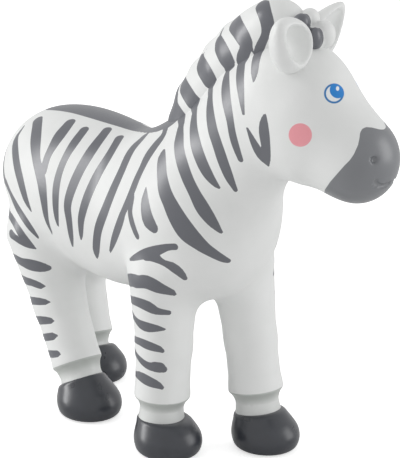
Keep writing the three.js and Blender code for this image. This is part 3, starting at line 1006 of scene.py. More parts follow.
@dataclass(frozen=True)
class Skull:
    """The head without what is seated on it."""

    layout: Layout
    rounding: float = 5.0
    bulges: tuple[Bulge, ...] = (
        Bulge(0.17, 0.06, 0.33, 0.465, 0.425, 25),
        Bulge(0.275, -0.16, 0.335, 0.5, 0.34, 35),
        Bulge(0.585, -0.325, 0.225, 0.36, 0.245, 45),
    )
    # Ends of the bridge: shares of the head's length and depth, and its radius as a share of the width
    nose: tuple[tuple[float, float, float], ...] = ((0.31, 0.02, 0.41), (0.59, -0.25, 0.385))

    @cached_property
    def form(self) -> Form:
        """The skull as one form.

        Returns:
            The form.
        """
        on = self.layout
        sizes = (on.head_length, on.head_width, on.head_depth)
        eggs = tuple(b.egg(on.on_head(b.along, 0, b.up), sizes, on.head_axes) for b in self.bulges)
        (a, b, r), (c, d, s) = self.nose
        bridge = Rod(on.on_head(a, 0, b), on.on_head(c, 0, d), r * on.head_width, s * on.head_width)
        return Blend(self.rounding, (*eggs, bridge))


@dataclass(frozen=True)
class Leg:
    """One leg with its hoof, in a walking stance."""

    layout: Layout
    name: str
    side: Side
    fore: bool
    # Hip, knee, cuff and hoof: shares of the trunk's length, and of the spacing of left and right
    places: tuple[float, float, float, float]
    side_shares: tuple[float, float, float, float]
    hip_radius: float
    knee_radius: float
    cuff_height: float
    spacing: float = 21.0
    height_shares: tuple[float, ...] = (1.3, 0.79, 0.5)
    cuff_radius: float = 6.8
    waist_radius: float = 5.2
    foot_radius: float = 6.2
    waist_drop: float = 3.0
    foot_sink: float = 1.5
    knee_blend: float = 1.5
    waist_blend: float = 1.2
    cuff_rounding: float = 0.7
    hoof_length: float = 17.8
    hoof_width: float = 15.6
    hoof_height: float = 9.1
    hoof_bulge: float = 5.3
    hoof_middle: float = 3.5
    hoof_blend: float = 4.0
    hoof_top_radius: float = 6.0
    hoof_flare: float = 1.0
    top_rounding: float = 0.8
    sole_rounding: float = 1.4
    cuff_ink_lift: float = 1 / 3
    hoof_margin: float = 2.0
    hoof_box: tuple[float, float] = (-3.0, 16.0)

    @cached_property
    def joints(self) -> np.ndarray:
        """Hip, knee, cuff and hoof, as rows.

        Returns:
            Four places, in the figure's millimetres.
        """
        heights = [share * self.layout.belly_height for share in self.height_shares]
        sides = [self.side.value * share * self.spacing for share in self.side_shares]
        alongs = [place * self.layout.trunk_length for place in self.places]
        return np.column_stack([alongs, sides, [*heights, self.hoof_middle]])

    @cached_property
    def down(self) -> np.ndarray:
        """Direction of the lower half."""
        return unit(self.joints[2] - self.joints[1])

    def at_height(self, height: float) -> np.ndarray:
        """A point on the line of the lower half."""
        cuff = self.joints[2]
        return cuff + (height - cuff[2]) / self.down[2] * self.down

    def centre_at(self, heights: np.ndarray) -> np.ndarray:
        """Points on the leg's line at given heights."""
        line = np.array([self.at_height(0), *self.joints[2::-1]])
        return np.column_stack([np.interp(heights, line[:, 2], line[:, n]) for n in (0, 1)])

    @cached_property
    def form(self) -> Form:
        """The leg, which ends in a cuff over its narrower pastern.

        Returns:
            The form.
        """
        hip, knee, _, _ = self.joints
        waist = self.at_height(self.cuff_height - self.waist_drop)
        foot = self.at_height(self.hoof_height - self.foot_sink)
        shaft = Blend(
            self.knee_blend,
            (
                Rod(hip, knee, self.hip_radius, self.knee_radius),
                Rod(knee, foot, self.knee_radius, self.cuff_radius),
            ),
        )
        trimmed = Carve(shaft, (Beyond(self.cuff_edge, self.down),), self.cuff_rounding)
        pastern = (
            Rod(self.cuff_edge, waist, self.cuff_radius, self.waist_radius),
            Rod(waist, foot, self.waist_radius, self.foot_radius),
        )
        return Blend(self.waist_blend, (trimmed, *pastern))

    @cached_property
    def cuff_edge(self) -> np.ndarray:
        """Where the leg's line leaves the cuff."""
        return self.at_height(self.cuff_height)

    @cached_property
    def hoof_form(self) -> Form:
        """The bell-shaped hoof.

        Returns:
            The form.
        """
        ankle, hoof = self.at_height(self.hoof_height), self.joints[3]
        bell = Blend(
            self.hoof_blend,
            (
                Egg(hoof, (self.hoof_length / 2, self.hoof_width / 2, self.hoof_bulge)),
                Rod(ankle, hoof, self.hoof_top_radius, self.hoof_top_radius + self.hoof_flare),
            ),
        )
        topped = Carve(bell, (Beyond(ankle, -self.down),), self.top_rounding)
        return Carve(topped, (Beyond(np.zeros(3), np.array([0.0, 0, -1])),), self.sole_rounding)

    def below_cuff(self, points: np.ndarray) -> np.ndarray:
        """Distances below the cuff's edge."""
        return (points - self.cuff_edge) @ self.down + self.cuff_rounding * self.cuff_ink_lift

    def build_hoof(self, cell: float, paint: bpy.types.Material) -> None:
        """Makes, dresses and hands over the hoof.

        Args:
            cell: Size of the skin's cells.
            paint: The hoof's finish.
        """
        reach = self.hoof_length / 2 + self.hoof_margin
        x, y, _ = self.joints[3]
        bottom, top = self.hoof_box
        skin = Skin.wrap(self.hoof_form, (x - reach, y - reach, bottom), (x + reach, y + reach, top), cell)
        piece = piece_from(f"{self.name}_hoof_bell", skin.to_bmesh(), self.hoof_form)
        piece.data.materials.append(paint)
        hand_over(piece, [f"{self.name}_hoof"], "gloss_hoof")


@dataclass(frozen=True)
class Mane:
    """The raised crest of tufts, with the knot between the ears."""

    layout: Layout
    width: float = 15.0
    height: float = 17.0
    tuft_length: float = 16.0
    rounding: float = 2.0
    sink: float = 0.5
    # Top of each tuft: shares of the neck's length and depth
    crest: tuple[tuple[float, float], ...] = (
        (0.09, 0.55), (0.25, 0.705), (0.45, 0.815), (0.66, 0.855), (0.87, 0.86), (1.07, 0.835), (1.25, 0.775),
    )
    knot: tuple[float, float, float] = (0.03, 0.0, 0.545)
    knot_size: tuple[float, float, float] = (15.0, 13.0, 13.5)

    @cached_property
    def form(self) -> Form:
        """The mane as one form.

        Returns:
            The form.
        """
        tops = [self.layout.on_neck(*place) for place in self.crest]
        tufts = []
        for n, top in enumerate(tops):
            forward = unit(tops[min(n + 1, len(tops) - 1)] - tops[max(n - 1, 0)])
            out = np.cross(forward, (0, 1, 0))
            half = (self.tuft_length / 2, self.width / 2, self.height / 2)
            axes = np.array([forward, (0, 1, 0), out])
            tufts.append(Egg(top - self.sink * self.height * out, half, axes))
        half = np.array(self.knot_size) / 2
        knot = Egg(self.layout.on_head(*self.knot), half, self.layout.head_axes)
        return Blend(self.rounding, (*tufts, knot))


@dataclass(frozen=True)
class Forelock:
    """Small round tufts down the forehead: dark ones on the right, pale ones on the left."""

    layout: Layout
    rounding: float = 0.8
    ink_rim: float = 0.3
    # Each tuft: forward, left and up in millimetres from the head's origin, and its half sizes
    dark: tuple[tuple[float, ...], ...] = (
        (8.7, -2.2, 20.5, 1.9, 2.0, 2.1), (12.1, -2.0, 17.2, 1.6, 1.9, 2.5),
    )
    pale: tuple[tuple[float, ...], ...] = (
        (7.6, -1.6, 17.2, 3.0, 3.6, 3.6), (8.9, 1.4, 21.2, 2.2, 2.3, 2.2), (12.6, 1.6, 17.6, 2.6, 2.4, 3.2),
        (10.6, 0.2, 16.2, 2.6, 3.0, 3.4),
    )

    def eggs(self, tufts: Sequence[tuple[float, ...]]) -> tuple[Egg, ...]:
        """The tufts of one colour."""
        origin, axes = self.layout.head_origin, self.layout.head_axes
        return tuple(Egg(origin + np.array(t[:3]) @ axes, t[3:], axes) for t in tufts)

    @cached_property
    def form(self) -> Form:
        """The forelock as one form."""
        return Blend(self.rounding, (*self.eggs(self.pale), *self.eggs(self.dark)))

    def ink(self, points: np.ndarray) -> np.ndarray:
        """How far points lie inside the dark tufts' ink."""
        return self.ink_rim - np.min([egg(points) for egg in self.eggs(self.dark)], axis=0)


@dataclass(frozen=True)
class Ear:
    """A leaf-shaped ear with a cup in its face."""

    layout: Layout
    side: Side
    length: float = 15.5
    width: float = 9.4
    thickness: float = 6.2
    root: tuple[float, float, float] = (0.208, 0.193, 0.397)
    root_share: float = 0.4
    lean: tuple[float, float, float] = (1.2, 10.5, 7.6)
    face_turn: float = -0.3
    face_rise: float = -0.1
    fullness: float = 1.08
    taper: float = 0.6
    swell_limits: tuple[float, float] = (0.5, 1.5)
    cup_shift: float = -0.02
    cup_length: float = 0.42
    cup_width: float = 0.36
    cup_depth: float = 0.62
    cup_lift: float = 0.42
    rim_rounding: float = 1.0

    @cached_property
    def axes(self) -> np.ndarray:
        """Line, breadth and face of the ear, as rows.

        Returns:
            Three directions.
        """
        side, head = self.side.value, self.layout.head_axes
        line = unit((np.array(self.lean) * (1, side, 1)) @ head)
        face = np.array([1, self.face_turn * side, self.face_rise]) @ head
        face = unit(face - (face @ line) * line)
        return np.array([line, np.cross(line, face), face])

    @cached_property
    def middle(self) -> np.ndarray:
        """The middle of the leaf.

        Returns:
            The place, in the figure's millimetres.
        """
        along, side, up = self.root
        root = self.layout.on_head(along, side * self.side.value, up)
        return root + self.root_share * self.length * self.axes[0]

    def form(self, points: np.ndarray) -> np.ndarray:
        """Distances from the ear's skin.

        Args:
            points: Places in the figure's millimetres, as rows.

        Returns:
            One distance for each point, less than zero inside.
        """
        local = (points - self.middle) @ self.axes.T
        swell = np.clip(self.fullness - self.taper * local[:, 0] / self.length, *self.swell_limits)
        local = local / np.column_stack([np.ones_like(swell), swell, swell])
        leaf = Egg(np.zeros(3), (self.length / 2, self.width / 2, self.thickness / 2))
        cup = Egg(
            np.array([self.cup_shift * self.length, 0, self.cup_lift * self.thickness]),
            (self.cup_length * self.length, self.cup_width * self.width, self.cup_depth * self.thickness),
        )
        return -smooth_least(-leaf(local), cup(local), self.rim_rounding)


@dataclass(frozen=True)
class Tail:
    """A tail that hangs close to the rump and ends in a tuft."""

    layout: Layout
    radius: float = 2.5
    # Shares of the trunk's length and depth, and of the tail's radius
    places: tuple[tuple[float, float, float], ...] = (
        (0.02, 0.2, 1.04), (-0.026, 0.09, 0.96), (-0.022, -0.12, 0.92),
        (0.004, -0.29, 1.0), (0.02, -0.43, 1.2), (0.02, -0.55, 0.52),
    )
    rounding: float = 1.5

    @cached_property
    def form(self) -> Form:
        """The tail as one form.

        Returns:
            The form.
        """
        on = self.layout.on_trunk
        bones = tuple(
            Rod(on(*a[:2]), on(*b[:2]), a[2] * self.radius, b[2] * self.radius)
            for a, b in zip(self.places, self.places[1:])
        )
        return Blend(self.rounding, bones)


@dataclass(frozen=True)
class Figure:
    """The whole animal: its forms and the pieces made from them."""

    layout: Layout
    view: MainView
    cell: float
    fore_blend: float = 4.5
    hind_blend: float = 4.0
    stride_blend: float = 1.5
    throat_blend: float = 4.0
    skin_box: tuple[tuple[float, ...], ...] = ((-4.0, -23.0, 1.0), (132.0, 21.0, 110.0))
    leg_seam: float = 32.5
    stride_seam: float = 53.0
    head_seam: tuple[float, float] = (0.79, -0.04)
    nostril: Pixels = ((374.5, 160.0),)
    nostril_radius: float = 0.95
    nostril_lift: float = 0.15
    mouth: Pixels = ((375.5, 181), (378, 185), (384, 186.3), (389, 183.5))
    mouth_radius: float = 0.42
    mouth_points: int = 8
    lip_rounding: float = 0.4

    @cached_property
    def legs(self) -> tuple[Leg, ...]:
        """The four legs.

        Returns:
            The legs, in the order in which they are made.
        """
        on, fore_shares = self.layout, (0.505, 0.495, 0.505, 0.507)
        return (
            Leg(
                on, "right_front", Side.RIGHT, True, (0.78, 0.774, 0.77, 0.792), fore_shares,
                hip_radius=8.9, knee_radius=7.0, cuff_height=14.7,
            ),
            Leg(
                on, "left_front", Side.LEFT, True, (0.832, 0.872, 0.888, 0.934), fore_shares,
                hip_radius=8.2, knee_radius=6.6, cuff_height=14.7,
            ),
            Leg(
                on, "right_hind", Side.RIGHT, False, (0.225, 0.293, 0.352, 0.434), (0.465, 0.495, 0.505, 0.507),
                hip_radius=10.7, knee_radius=7.0, cuff_height=13.0, cuff_radius=6.4,
            ),
            Leg(
                on, "left_hind", Side.LEFT, False, (0.195, 0.105, 0.14, 0.209), (0.465, 0.43, 0.39, 0.343),
                hip_radius=10.7, knee_radius=7.0, cuff_height=11.8, hoof_height=8.2,
            ),
        )

    @cached_property
    def hide(self) -> Form:
        """Trunk, neck, legs and skull in one form.

        Returns:
            The form.
        """
        fore, hind = (
            Blend(self.stride_blend, tuple(leg.form for leg in self.legs if leg.fore is wanted))
            for wanted in (True, False)
        )
        trunk = Blend(self.hind_blend, (Blend(self.fore_blend, (Torso(self.layout).form, fore)), hind))
        return Blend(self.throat_blend, (trunk, Skull(self.layout).form))

    @cached_property
    def featured(self) -> Form:
        """The hide with nostrils and mouth pressed into the muzzle, on both sides of the head.

        Returns:
            The form.
        """
        at = self.view.land(np.array(self.nostril), self.hide)
        at = at + self.nostril_lift * unit(slope(self.hide, at))
        lips = self.view.land(resample(self.mouth, self.mouth_points), self.hide)
        cutters: list[Form] = []
        for turn in (np.asarray, self.layout.mirrored_head):
            cutters.append(Egg(turn(at)[0], np.full(3, self.nostril_radius)))
            line = turn(lips)
            cutters += [Rod(a, b, self.mouth_radius, self.mouth_radius) for a, b in zip(line, line[1:])]
        return Carve(self.hide, tuple(cutters), self.lip_rounding)

    def build_hide(self) -> dict[str, bpy.types.Object]:
        """Makes the trunk, the head and the legs from one skin, cut at the CAD's seams.

        Returns:
            The pieces, by name.
        """
        skin = Skin.wrap(self.featured, *self.skin_box, self.cell)
        whole = skin.to_bmesh()
        up = np.array([0.0, 0, 1])
        knees, throat = np.array([0, 0, self.leg_seam]), self.layout.on_neck(*self.head_seam)
        axis = self.layout.neck_axis
        pieces = {}
        for name, cuts in (
            ("trunk", (Cut(knees, up), Cut(throat, -axis))),
            ("head_skin", (Cut(knees, up), Cut(throat, axis))),
        ):
            part = whole.copy()
            for cut in cuts:
                cut.apply(part)
            pieces[name] = piece_from(name, part, self.featured if name == "head_skin" else self.hide)
        stride = np.array([self.stride_seam, 0, 0])
        for leg in self.legs:
            part = whole.copy()
            fore = np.array([1.0 if leg.fore else -1.0, 0, 0])
            for cut in (
                Cut(knees, -up), Cut(stride, fore), Cut(np.zeros(3), np.array([0, float(leg.side.value), 0])),
            ):
                cut.apply(part)
            pieces[leg.name] = piece_from(f"{leg.name}_leg_skin", part, self.hide)
        whole.free()
        return pieces


# Print: what is inked on the skins


@dataclass(frozen=True)
class Stripe:
    """A printed stripe between two edges, each a line of pixels of the main view.

    One whose first end goes out of sight runs on behind the figure for run_on millimetres.
    """

    region: Region
    left: Pixels
    right: Pixels
    run_on: float = 0.0

    @classmethod
    def stroke(cls, region: Region, *centre: tuple[float, float, float]) -> "Stripe":
        """A stripe from its middle line and its widths.

        Args:
            region: How the stripe is mirrored.
            centre: Pixel across, pixel down and width in pixels, from end to end.

        Returns:
            The stripe.
        """
        line = np.array(centre, float)
        along = np.gradient(line[:, :2], axis=0)
        across = unit(np.column_stack([along[:, 1], -along[:, 0]])) * line[:, 2:] / 2
        return cls(region, line[:, :2] + across, line[:, :2] - across)


@dataclass
class Chain:
    """A stripe on the skin: points in millimetres, and how far the ink reaches from each."""

    points: np.ndarray
    reach: np.ndarray

    def depth(self, points: np.ndarray) -> np.ndarray:
        """How far points lie inside the ink, less than zero outside it.

        Args:
            points: Places in the figure's millimetres, as rows.

        Returns:
            One depth for each point.
        """
        deepest = np.full(len(points), FAR_OUTSIDE)
        low = (self.points - self.reach[:, None]).min(0) + FAR_OUTSIDE
        high = (self.points + self.reach[:, None]).max(0) - FAR_OUTSIDE
        close = np.flatnonzero(((points > low) & (points < high)).all(1))
        near = points[close]
        for n in range(len(self.points) - 1):
            bead = Rod(self.points[n], self.points[n + 1], self.reach[n], self.reach[n + 1])
            deepest[close] = np.maximum(deepest[close], -bead(near))
        return deepest


def resample(line: Pixels, count: int) -> np.ndarray:
    """Evenly spaced points along a smooth curve through given ones.

    Args:
        line: The given points.
        count: How many points to return.

    Returns:
        The points, from end to end.
    """
    line = np.asarray(line, float)
    line = line[np.concatenate([[True], np.abs(np.diff(line, axis=0)).sum(1) > 0])]
    padded = np.concatenate([2 * line[:1] - line[1:2], line, 2 * line[-1:] - line[-2:-1]])
    t = np.linspace(0, 1, CURVE_STEPS + 1)[:-1, None]
    # Each run is a cubic from q to r, whose slopes come from their neighbours
    runs = []
    for n in range(len(line) - 1):
        p, q, r, s = padded[n : n + 4]
        runs.append(
            q + t * (r - p) / 2 + t**2 * (p - 2.5 * q + 2 * r - s / 2) + t**3 * (1.5 * (q - r) + (s - p) / 2)
        )
    curve = np.concatenate([*runs, line[-1:]])
    travel = np.concatenate([[0], np.cumsum(np.linalg.norm(np.diff(curve, axis=0), axis=1))])
    at = np.linspace(0, travel[-1], count)
    return np.column_stack([np.interp(at, travel, curve[:, n]) for n in range(curve.shape[1])])


BODY, FORE, HIND = Region.BODY, Region.FORE_LEGS, Region.HIND_LEGS
stroke = Stripe.stroke

# Pixels of the main view: both edges of each stripe and its run on, or its middle line with widths
RUMP_AND_FLANK = (
    Stripe(
        BODY,
        ((2, 158), (1, 170), (3, 180), (7, 192), (13, 206), (20, 218), (28, 229), (37, 238)),
        ((6, 152), (5, 165), (8, 177), (13, 190), (19, 204), (26, 216), (33, 227), (39, 237)),
        8,
    ),
    Stripe(
        BODY,
        ((23, 126), (12, 140), (11.5, 160), (15.5, 180), (22, 200), (30, 211)),
        ((25, 126), (20, 140), (21, 160), (25.5, 180), (30, 200), (32, 211)),
    ),
    Stripe(
        BODY,
        ((33, 120), (30, 140), (32, 160), (36, 180), (39.5, 200), (44, 220), (52, 235)),
        ((42.5, 120), (41.5, 140), (41, 160), (46.5, 180), (48, 200), (49.5, 220), (53.5, 235)),
    ),
    Stripe(
        BODY,
        ((66, 120), (55, 132), (48, 146), (43, 158), (40, 170)),
        ((74, 125), (66, 137), (58, 147), (51, 158), (47, 172)),
    ),
    Stripe(
        BODY,
        ((1, 192), (3, 205), (7, 215), (12, 224), (20.5, 238.6), (36, 249.5)),
        ((2, 190), (7, 203), (14, 216), (22, 229), (30, 240), (37, 249)),
        6,
    ),
    Stripe(
        BODY,
        ((10, 230), (15, 235), (20.5, 238.6), (29, 243), (37, 249)),
        ((13, 238), (20, 244), (28, 248), (37, 249.5)),
    ),
    Stripe(
        BODY,
        ((80, 129), (70, 142), (62, 157), (56, 172), (52.5, 187), (52, 203), (54, 218), (57.5, 227)),
        ((88, 131), (80, 142), (70, 156), (63, 172), (60, 187), (59, 203), (59, 218), (59, 226)),
    ),
    stroke(
        BODY, (107, 130, 8), (92, 150, 10), (80.5, 169, 9.5), (72, 188, 9), (67.5, 205, 8), (69, 220, 7),
        (71, 236, 5.5), (72.5, 246, 2),
    ),
    stroke(
        BODY, (119, 138, 8), (109, 155, 9), (98.8, 172, 9), (90.3, 189.5, 8.5), (84.5, 205, 8), (81, 220, 7),
        (81, 234, 4.5), (81, 239, 2),
    ),
    stroke(
        BODY, (144, 137, 9), (131, 151, 11), (121, 172, 11), (112, 192, 10.5), (104.5, 211, 9.5),
        (98, 230, 8.5), (96, 250, 7), (97, 258, 2),
    ),
    Stripe(
        BODY,
        ((163, 127), (160, 134), (150, 145), (143, 155), (138, 167), (132, 180), (127, 193), (121, 208),
         (115.6, 221), (110.6, 239), (109, 252)),
        ((169, 128), (166, 138), (158, 150), (150, 162), (143, 175), (137, 190), (131, 204), (127, 213),
         (125, 221), (117, 240), (111, 252)),
    ),
    Stripe(
        BODY,
        ((128, 200), (127, 212), (128, 221), (131, 230), (134, 236)),
        ((135, 196), (133, 210), (135, 220), (138, 230), (140, 235.5)),
    ),
    Stripe(
        BODY,
        ((145.5, 187), (141, 200), (140.5, 212), (143, 222), (150, 228)),
        ((146.5, 187), (149, 200), (152, 213), (155, 221), (158, 228)),
    ),
)
NECK = (
    Stripe(
        BODY,
        ((162, 151), (158, 157), (157, 166), (158, 190), (163, 205), (170, 222), (180, 238), (195, 249),
         (210, 257), (222, 262), (229, 263)),
        ((165.5, 151), (166, 160), (167, 175), (172, 192), (180, 206), (190, 221), (205, 240), (215, 249),
         (228, 259)),
    ),
    Stripe(
        BODY,
        ((176, 98), (173, 103), (173, 110), (178, 122), (176, 132), (174, 145), (176, 162), (182, 180),
         (189, 195), (197, 212), (207, 224), (216, 231), (221, 234)),
        ((177, 98), (180, 104), (186, 117), (184, 127), (184, 135), (184, 148), (188, 163), (193, 177),
         (200, 191), (207, 202), (215, 216), (222, 231)),
        3,
    ),
    Stripe(
        BODY,
        ((183, 76), (179, 82), (179, 90), (184, 100), (191, 110), (190, 118), (189, 130), (191, 148),
         (197, 165), (204, 177), (213, 186), (219, 189)),
        ((184, 76), (187, 79), (193, 89), (200, 100.5), (199, 105), (198, 112), (198, 128), (201, 143),
         (206, 158), (213, 174), (219, 186)),
        3,
    ),
    Stripe(
        BODY,
        ((203, 54), (196, 62), (196, 68), (201, 78), (207, 90), (206, 100), (205, 113), (207, 130),
         (213, 148), (219, 165), (226, 180), (235, 192)),
        ((204, 54), (205, 57), (210, 66), (217, 79), (215, 85), (214, 97), (215, 110), (218, 128),
         (222, 142), (227, 158), (232, 174), (236, 188)),
        3,
    ),
    Stripe(
        BODY,
        ((219, 36), (214, 43), (214, 48), (218, 58), (225, 69), (222, 80), (221, 92), (223, 107),
         (227, 123), (230, 138), (234, 150), (240, 162)),
        ((221, 36), (224, 42), (229, 50), (234, 59), (233, 63), (230, 70), (230, 85), (231, 100),
         (233, 115), (235, 130), (239, 148), (241, 157)),
        3,
    ),
    Stripe(
        BODY,
        ((230, 29), (236, 40), (242, 50), (240, 56), (237, 67), (236, 78), (237, 90), (240, 105), (243, 116)),
        ((241, 21), (249, 33), (252, 41), (250, 46), (247, 53), (245, 65), (244, 77), (244, 90), (244, 113)),
        3,
    ),
    Stripe(
        BODY,
        ((256, 11), (260, 22), (262, 33), (261, 40), (256, 48), (252, 60), (251, 72), (253, 83)),
        ((270, 4.5), (272, 13), (274, 22), (270, 30), (267, 37), (264, 47), (260, 60), (258, 72), (254, 83)),
        3,
    ),
    stroke(BODY, (247, 128, 2), (255, 145, 7), (262, 157, 8), (268.5, 166, 2)),
    Stripe(
        BODY,
        ((265, 112), (260, 122), (259, 133), (261.5, 147), (264, 160), (269, 166)),
        ((265, 112), (267, 118), (269, 130), (270, 142), (270, 155), (269, 166)),
    ),
    Stripe(
        BODY,
        ((129, 259), (135, 254), (143, 249), (153, 246), (165, 244), (175, 243.5)),
        ((131, 260), (145, 259), (155, 257), (161, 254), (168, 250.5), (175, 250)),
    ),
    Stripe(
        BODY,
        ((147, 251), (154, 253), (160, 256), (166, 261), (176, 264), (183, 270), (187, 277)),
        ((144, 260), (148, 260), (152, 261), (162, 265), (172, 272), (182, 279)),
    ),
)
LEGS = (
    Stripe(
        FORE,
        ((127, 274), (133, 273.5), (139, 275.5), (146, 275), (155, 279), (163, 284), (174, 290), (176, 293)),
        ((131, 284), (135, 288), (145, 288.5), (157, 293), (173, 295.5)),
        2,
    ),
    Stripe(
        FORE,
        ((131, 295.5), (143, 299), (150, 302), (157, 307.5), (169, 310.5)),
        ((132.5, 304), (145, 310.5), (155, 314.5), (169, 315)),
        6,
    ),
    Stripe(
        FORE,
        ((134.5, 315), (139, 319.5), (146, 322), (157, 325), (165, 328.5)),
        ((134.5, 321), (138, 326.5), (143, 330.5), (151, 332), (165, 330.5)),
        6,
    ),
    Stripe(
        FORE, ((135, 336), (146, 340), (160, 346), (163, 349)), ((136, 343), (147, 349.5), (162, 353)), 6,
    ),
    Stripe(
        FORE,
        ((137, 353), (142, 358), (147, 361.5), (153, 363), (160, 362), (167, 369.5)),
        ((137.5, 359), (141, 364), (146, 368.5), (153, 371.5), (162, 372.8), (167, 371)),
        6,
    ),
    Stripe(
        FORE,
        ((136, 371), (143, 373), (151, 377), (159, 381.5), (163.5, 386)),
        ((136, 377), (141, 382), (148, 386), (160, 389)),
        6,
    ),
    Stripe(
        HIND,
        ((22, 258), (32, 259.5), (42, 262.5), (52, 267)),
        ((23.5, 267), (30, 270.3), (40, 272), (48, 271), (52, 268.5)),
        7,
    ),
    Stripe(
        HIND,
        ((26, 277), (32, 279), (38, 281.5), (44.5, 285)),
        ((26.5, 284.5), (32, 286), (40, 289), (45, 287)),
        7,
    ),
    Stripe(
        HIND,
        ((29, 295.5), (34, 297), (42, 298.2), (49.5, 301)),
        ((31, 304.5), (38, 305), (45, 305), (50, 302.8)),
        7,
    ),
    Stripe(
        HIND,
        ((36, 316), (43, 316.3), (50, 317.5), (54, 320.5)),
        ((38, 324.5), (44, 324.3), (50, 324), (54, 321.8)),
        7,
    ),
    Stripe(
        HIND,
        ((41, 334), (46, 333.3), (52, 332.5), (57, 334.5)),
        ((43, 341), (48, 341), (53, 340.2), (57, 337)),
        7,
    ),
    Stripe(
        HIND,
        ((46, 350), (52, 350.3), (57, 350.5), (61, 353)),
        ((48, 357), (53, 358), (58, 357), (61, 354.5)),
        7,
    ),
)
# Pixels along the lower edge of the stripe on the back
BACK_EDGE = (
    (48, 110), (57, 110.5), (70, 112.5), (85, 116.5), (100, 121), (110, 124), (120, 127), (130, 130),
    (140, 132), (150, 132.5), (162, 130.5),
)


@dataclass(frozen=True)
class StripePrint:
    """The charcoal stripes of both sides."""

    view: MainView
    legs: tuple[Leg, ...]
    hide: Form
    crest: Form
    spacing: float = 4.0
    fewest: int = 3
    tip_share: float = 0.15
    tip_growth: float = 1.6
    widest: float = 1.35
    far_side: float = 2.6
    far_reach: float = 3.2
    far_leg_back: float = 2.9
    back_points: int = 30
    back_rise: float = 3.0
    back_full: float = 4.0
    chest_start: float = 62.0
    chest_run: float = 15.0
    chest_lean: float = 0.12
    chest_top: float = 95.0

    @cached_property
    def chains(self) -> list[Chain]:
        """All stripes as chains on the skin.

        Returns:
            The chains of both sides.
        """
        stripes = (*RUMP_AND_FLANK, *NECK, *LEGS)
        drawn = self.land(stripes)
        twins = [self.mirrored(chain.points, stripe.region) for stripe, chain in zip(stripes, drawn)]
        settled = settle(self.seat, np.concatenate(twins))
        ends = np.cumsum([len(points) for points in twins])[:-1]
        mirrored = [Chain(points, chain.reach) for points, chain in zip(np.split(settled, ends), drawn)]
        return [*self.back_stripe(), *drawn, *mirrored]

    def seat(self, points: np.ndarray) -> np.ndarray:
        """Distances from the hide with the mane on it."""
        return np.minimum(self.hide(points), self.crest(points))

    def land(self, stripes: Sequence[Stripe]) -> list[Chain]:
        """Lays stripes on the skin.

        Args:
            stripes: The stripes.

        Returns:
            Their chains on the side that the main view shows.
        """
        lefts, rights = [], []
        for stripe in stripes:
            edges = [np.asarray(edge, float) for edge in (stripe.left, stripe.right)]
            longest = max(np.linalg.norm(np.diff(edge, axis=0), axis=1).sum() for edge in edges)
            count = max(self.fewest, round(longest / self.spacing))
            lefts.append(resample(edges[0], count))
            rights.append(resample(edges[1], count))
        left, right = np.concatenate(lefts), np.concatenate(rights)
        landed = self.view.land(np.concatenate([left, right]), self.seat)
        one, other = landed[: len(left)], landed[len(left) :]
        flat = self.view.millimetres(np.linalg.norm(left - right, axis=1) / 2)
        reach = np.minimum(np.linalg.norm(one - other, axis=1) / 2, self.widest * flat)
        middle = settle(self.seat, (one + other) / 2)
        ends = np.cumsum([len(edge) for edge in lefts])[:-1]
        chains = [Chain(*beads) for beads in zip(np.split(middle, ends), np.split(reach, ends))]
        self.run_on(chains, [stripe.run_on for stripe in stripes])
        return chains

    def run_on(self, chains: list[Chain], lengths: list[float], pace: float = 1.0) -> None:
        """Lets the first ends of chains run on round the figure, and taper there.

        Args:
            chains: The chains, which are made longer here.
            lengths: How far each goes, in millimetres.
            pace: Length of a step.
        """
        moving = [n for n, length in enumerate(lengths) if length > 0]
        points = np.array([chains[n].points[0] for n in moving])
        ahead = unit(points - [chains[n].points[1] for n in moving])
        for step in range(1, round(max(lengths) / pace) + 1):
            moved = settle(self.seat, points + pace * ahead)
            ahead, points = unit(moved - points), moved
            for n, at in zip(moving, moved):
                left = 1 - step * pace / lengths[n]
                if left < 0:
                    continue
                chain = chains[n]
                first = chain.reach[min(step - 1, len(chain.reach) - 1)]
                chain.points = np.concatenate([at[None], chain.points])
                tip = first * min(1.0, self.tip_share + self.tip_growth * left)
                chain.reach = np.concatenate([[tip], chain.reach])

    def mirrored(self, points: np.ndarray, region: Region) -> np.ndarray:
        """Points of a stripe on the animal's other side.

        Args:
            points: The points on the first side.
            region: What they are mirrored across.

        Returns:
            The points, not yet settled on the skin there.
        """
        if region is Region.BODY:
            ahead = np.clip((points[:, 0] - self.chest_start) / self.chest_run, 0, 1)
            back = self.chest_lean * np.maximum(self.chest_top - points[:, 2], 0) * ahead
            return points * (1, -1, 1) - back[:, None] * UPRIGHT[0]
        fore = region is Region.FORE_LEGS
        own, other = (next(leg for leg in self.legs if leg.fore == fore and leg.side is side) for side in Side)
        heights = points[:, 2]
        off = (points[:, :2] - own.centre_at(heights)) * (1, -1) - (self.far_leg_back * fore, 0)
        return np.column_stack([other.centre_at(heights) + off, heights])

    def back_stripe(self) -> list[Chain]:
        """The broad stripe along the ridge of the back, down to its edge on each side.

        Returns:
            A chain along the ridge, and one that widens it on the far side.
        """
        edge = self.view.land(resample(BACK_EDGE, self.back_points), self.hide)
        ridge = settle(self.hide, edge * (1, 0, 1) + (0, 0, self.back_rise))
        ridge[:, 1] = 0
        reach = np.linalg.norm(edge - ridge, axis=1)
        full = np.clip(reach / self.back_full, 0, 1)
        beyond = settle(self.hide, ridge + self.far_side * full[:, None] * (0, 1, 0))
        return [Chain(ridge, reach), Chain(beyond, self.far_reach * full)]

    def depth(self, points: np.ndarray) -> np.ndarray:
        """How far points lie inside the stripes, in millimetres."""
        return np.max([chain.depth(points) for chain in self.chains], axis=0)


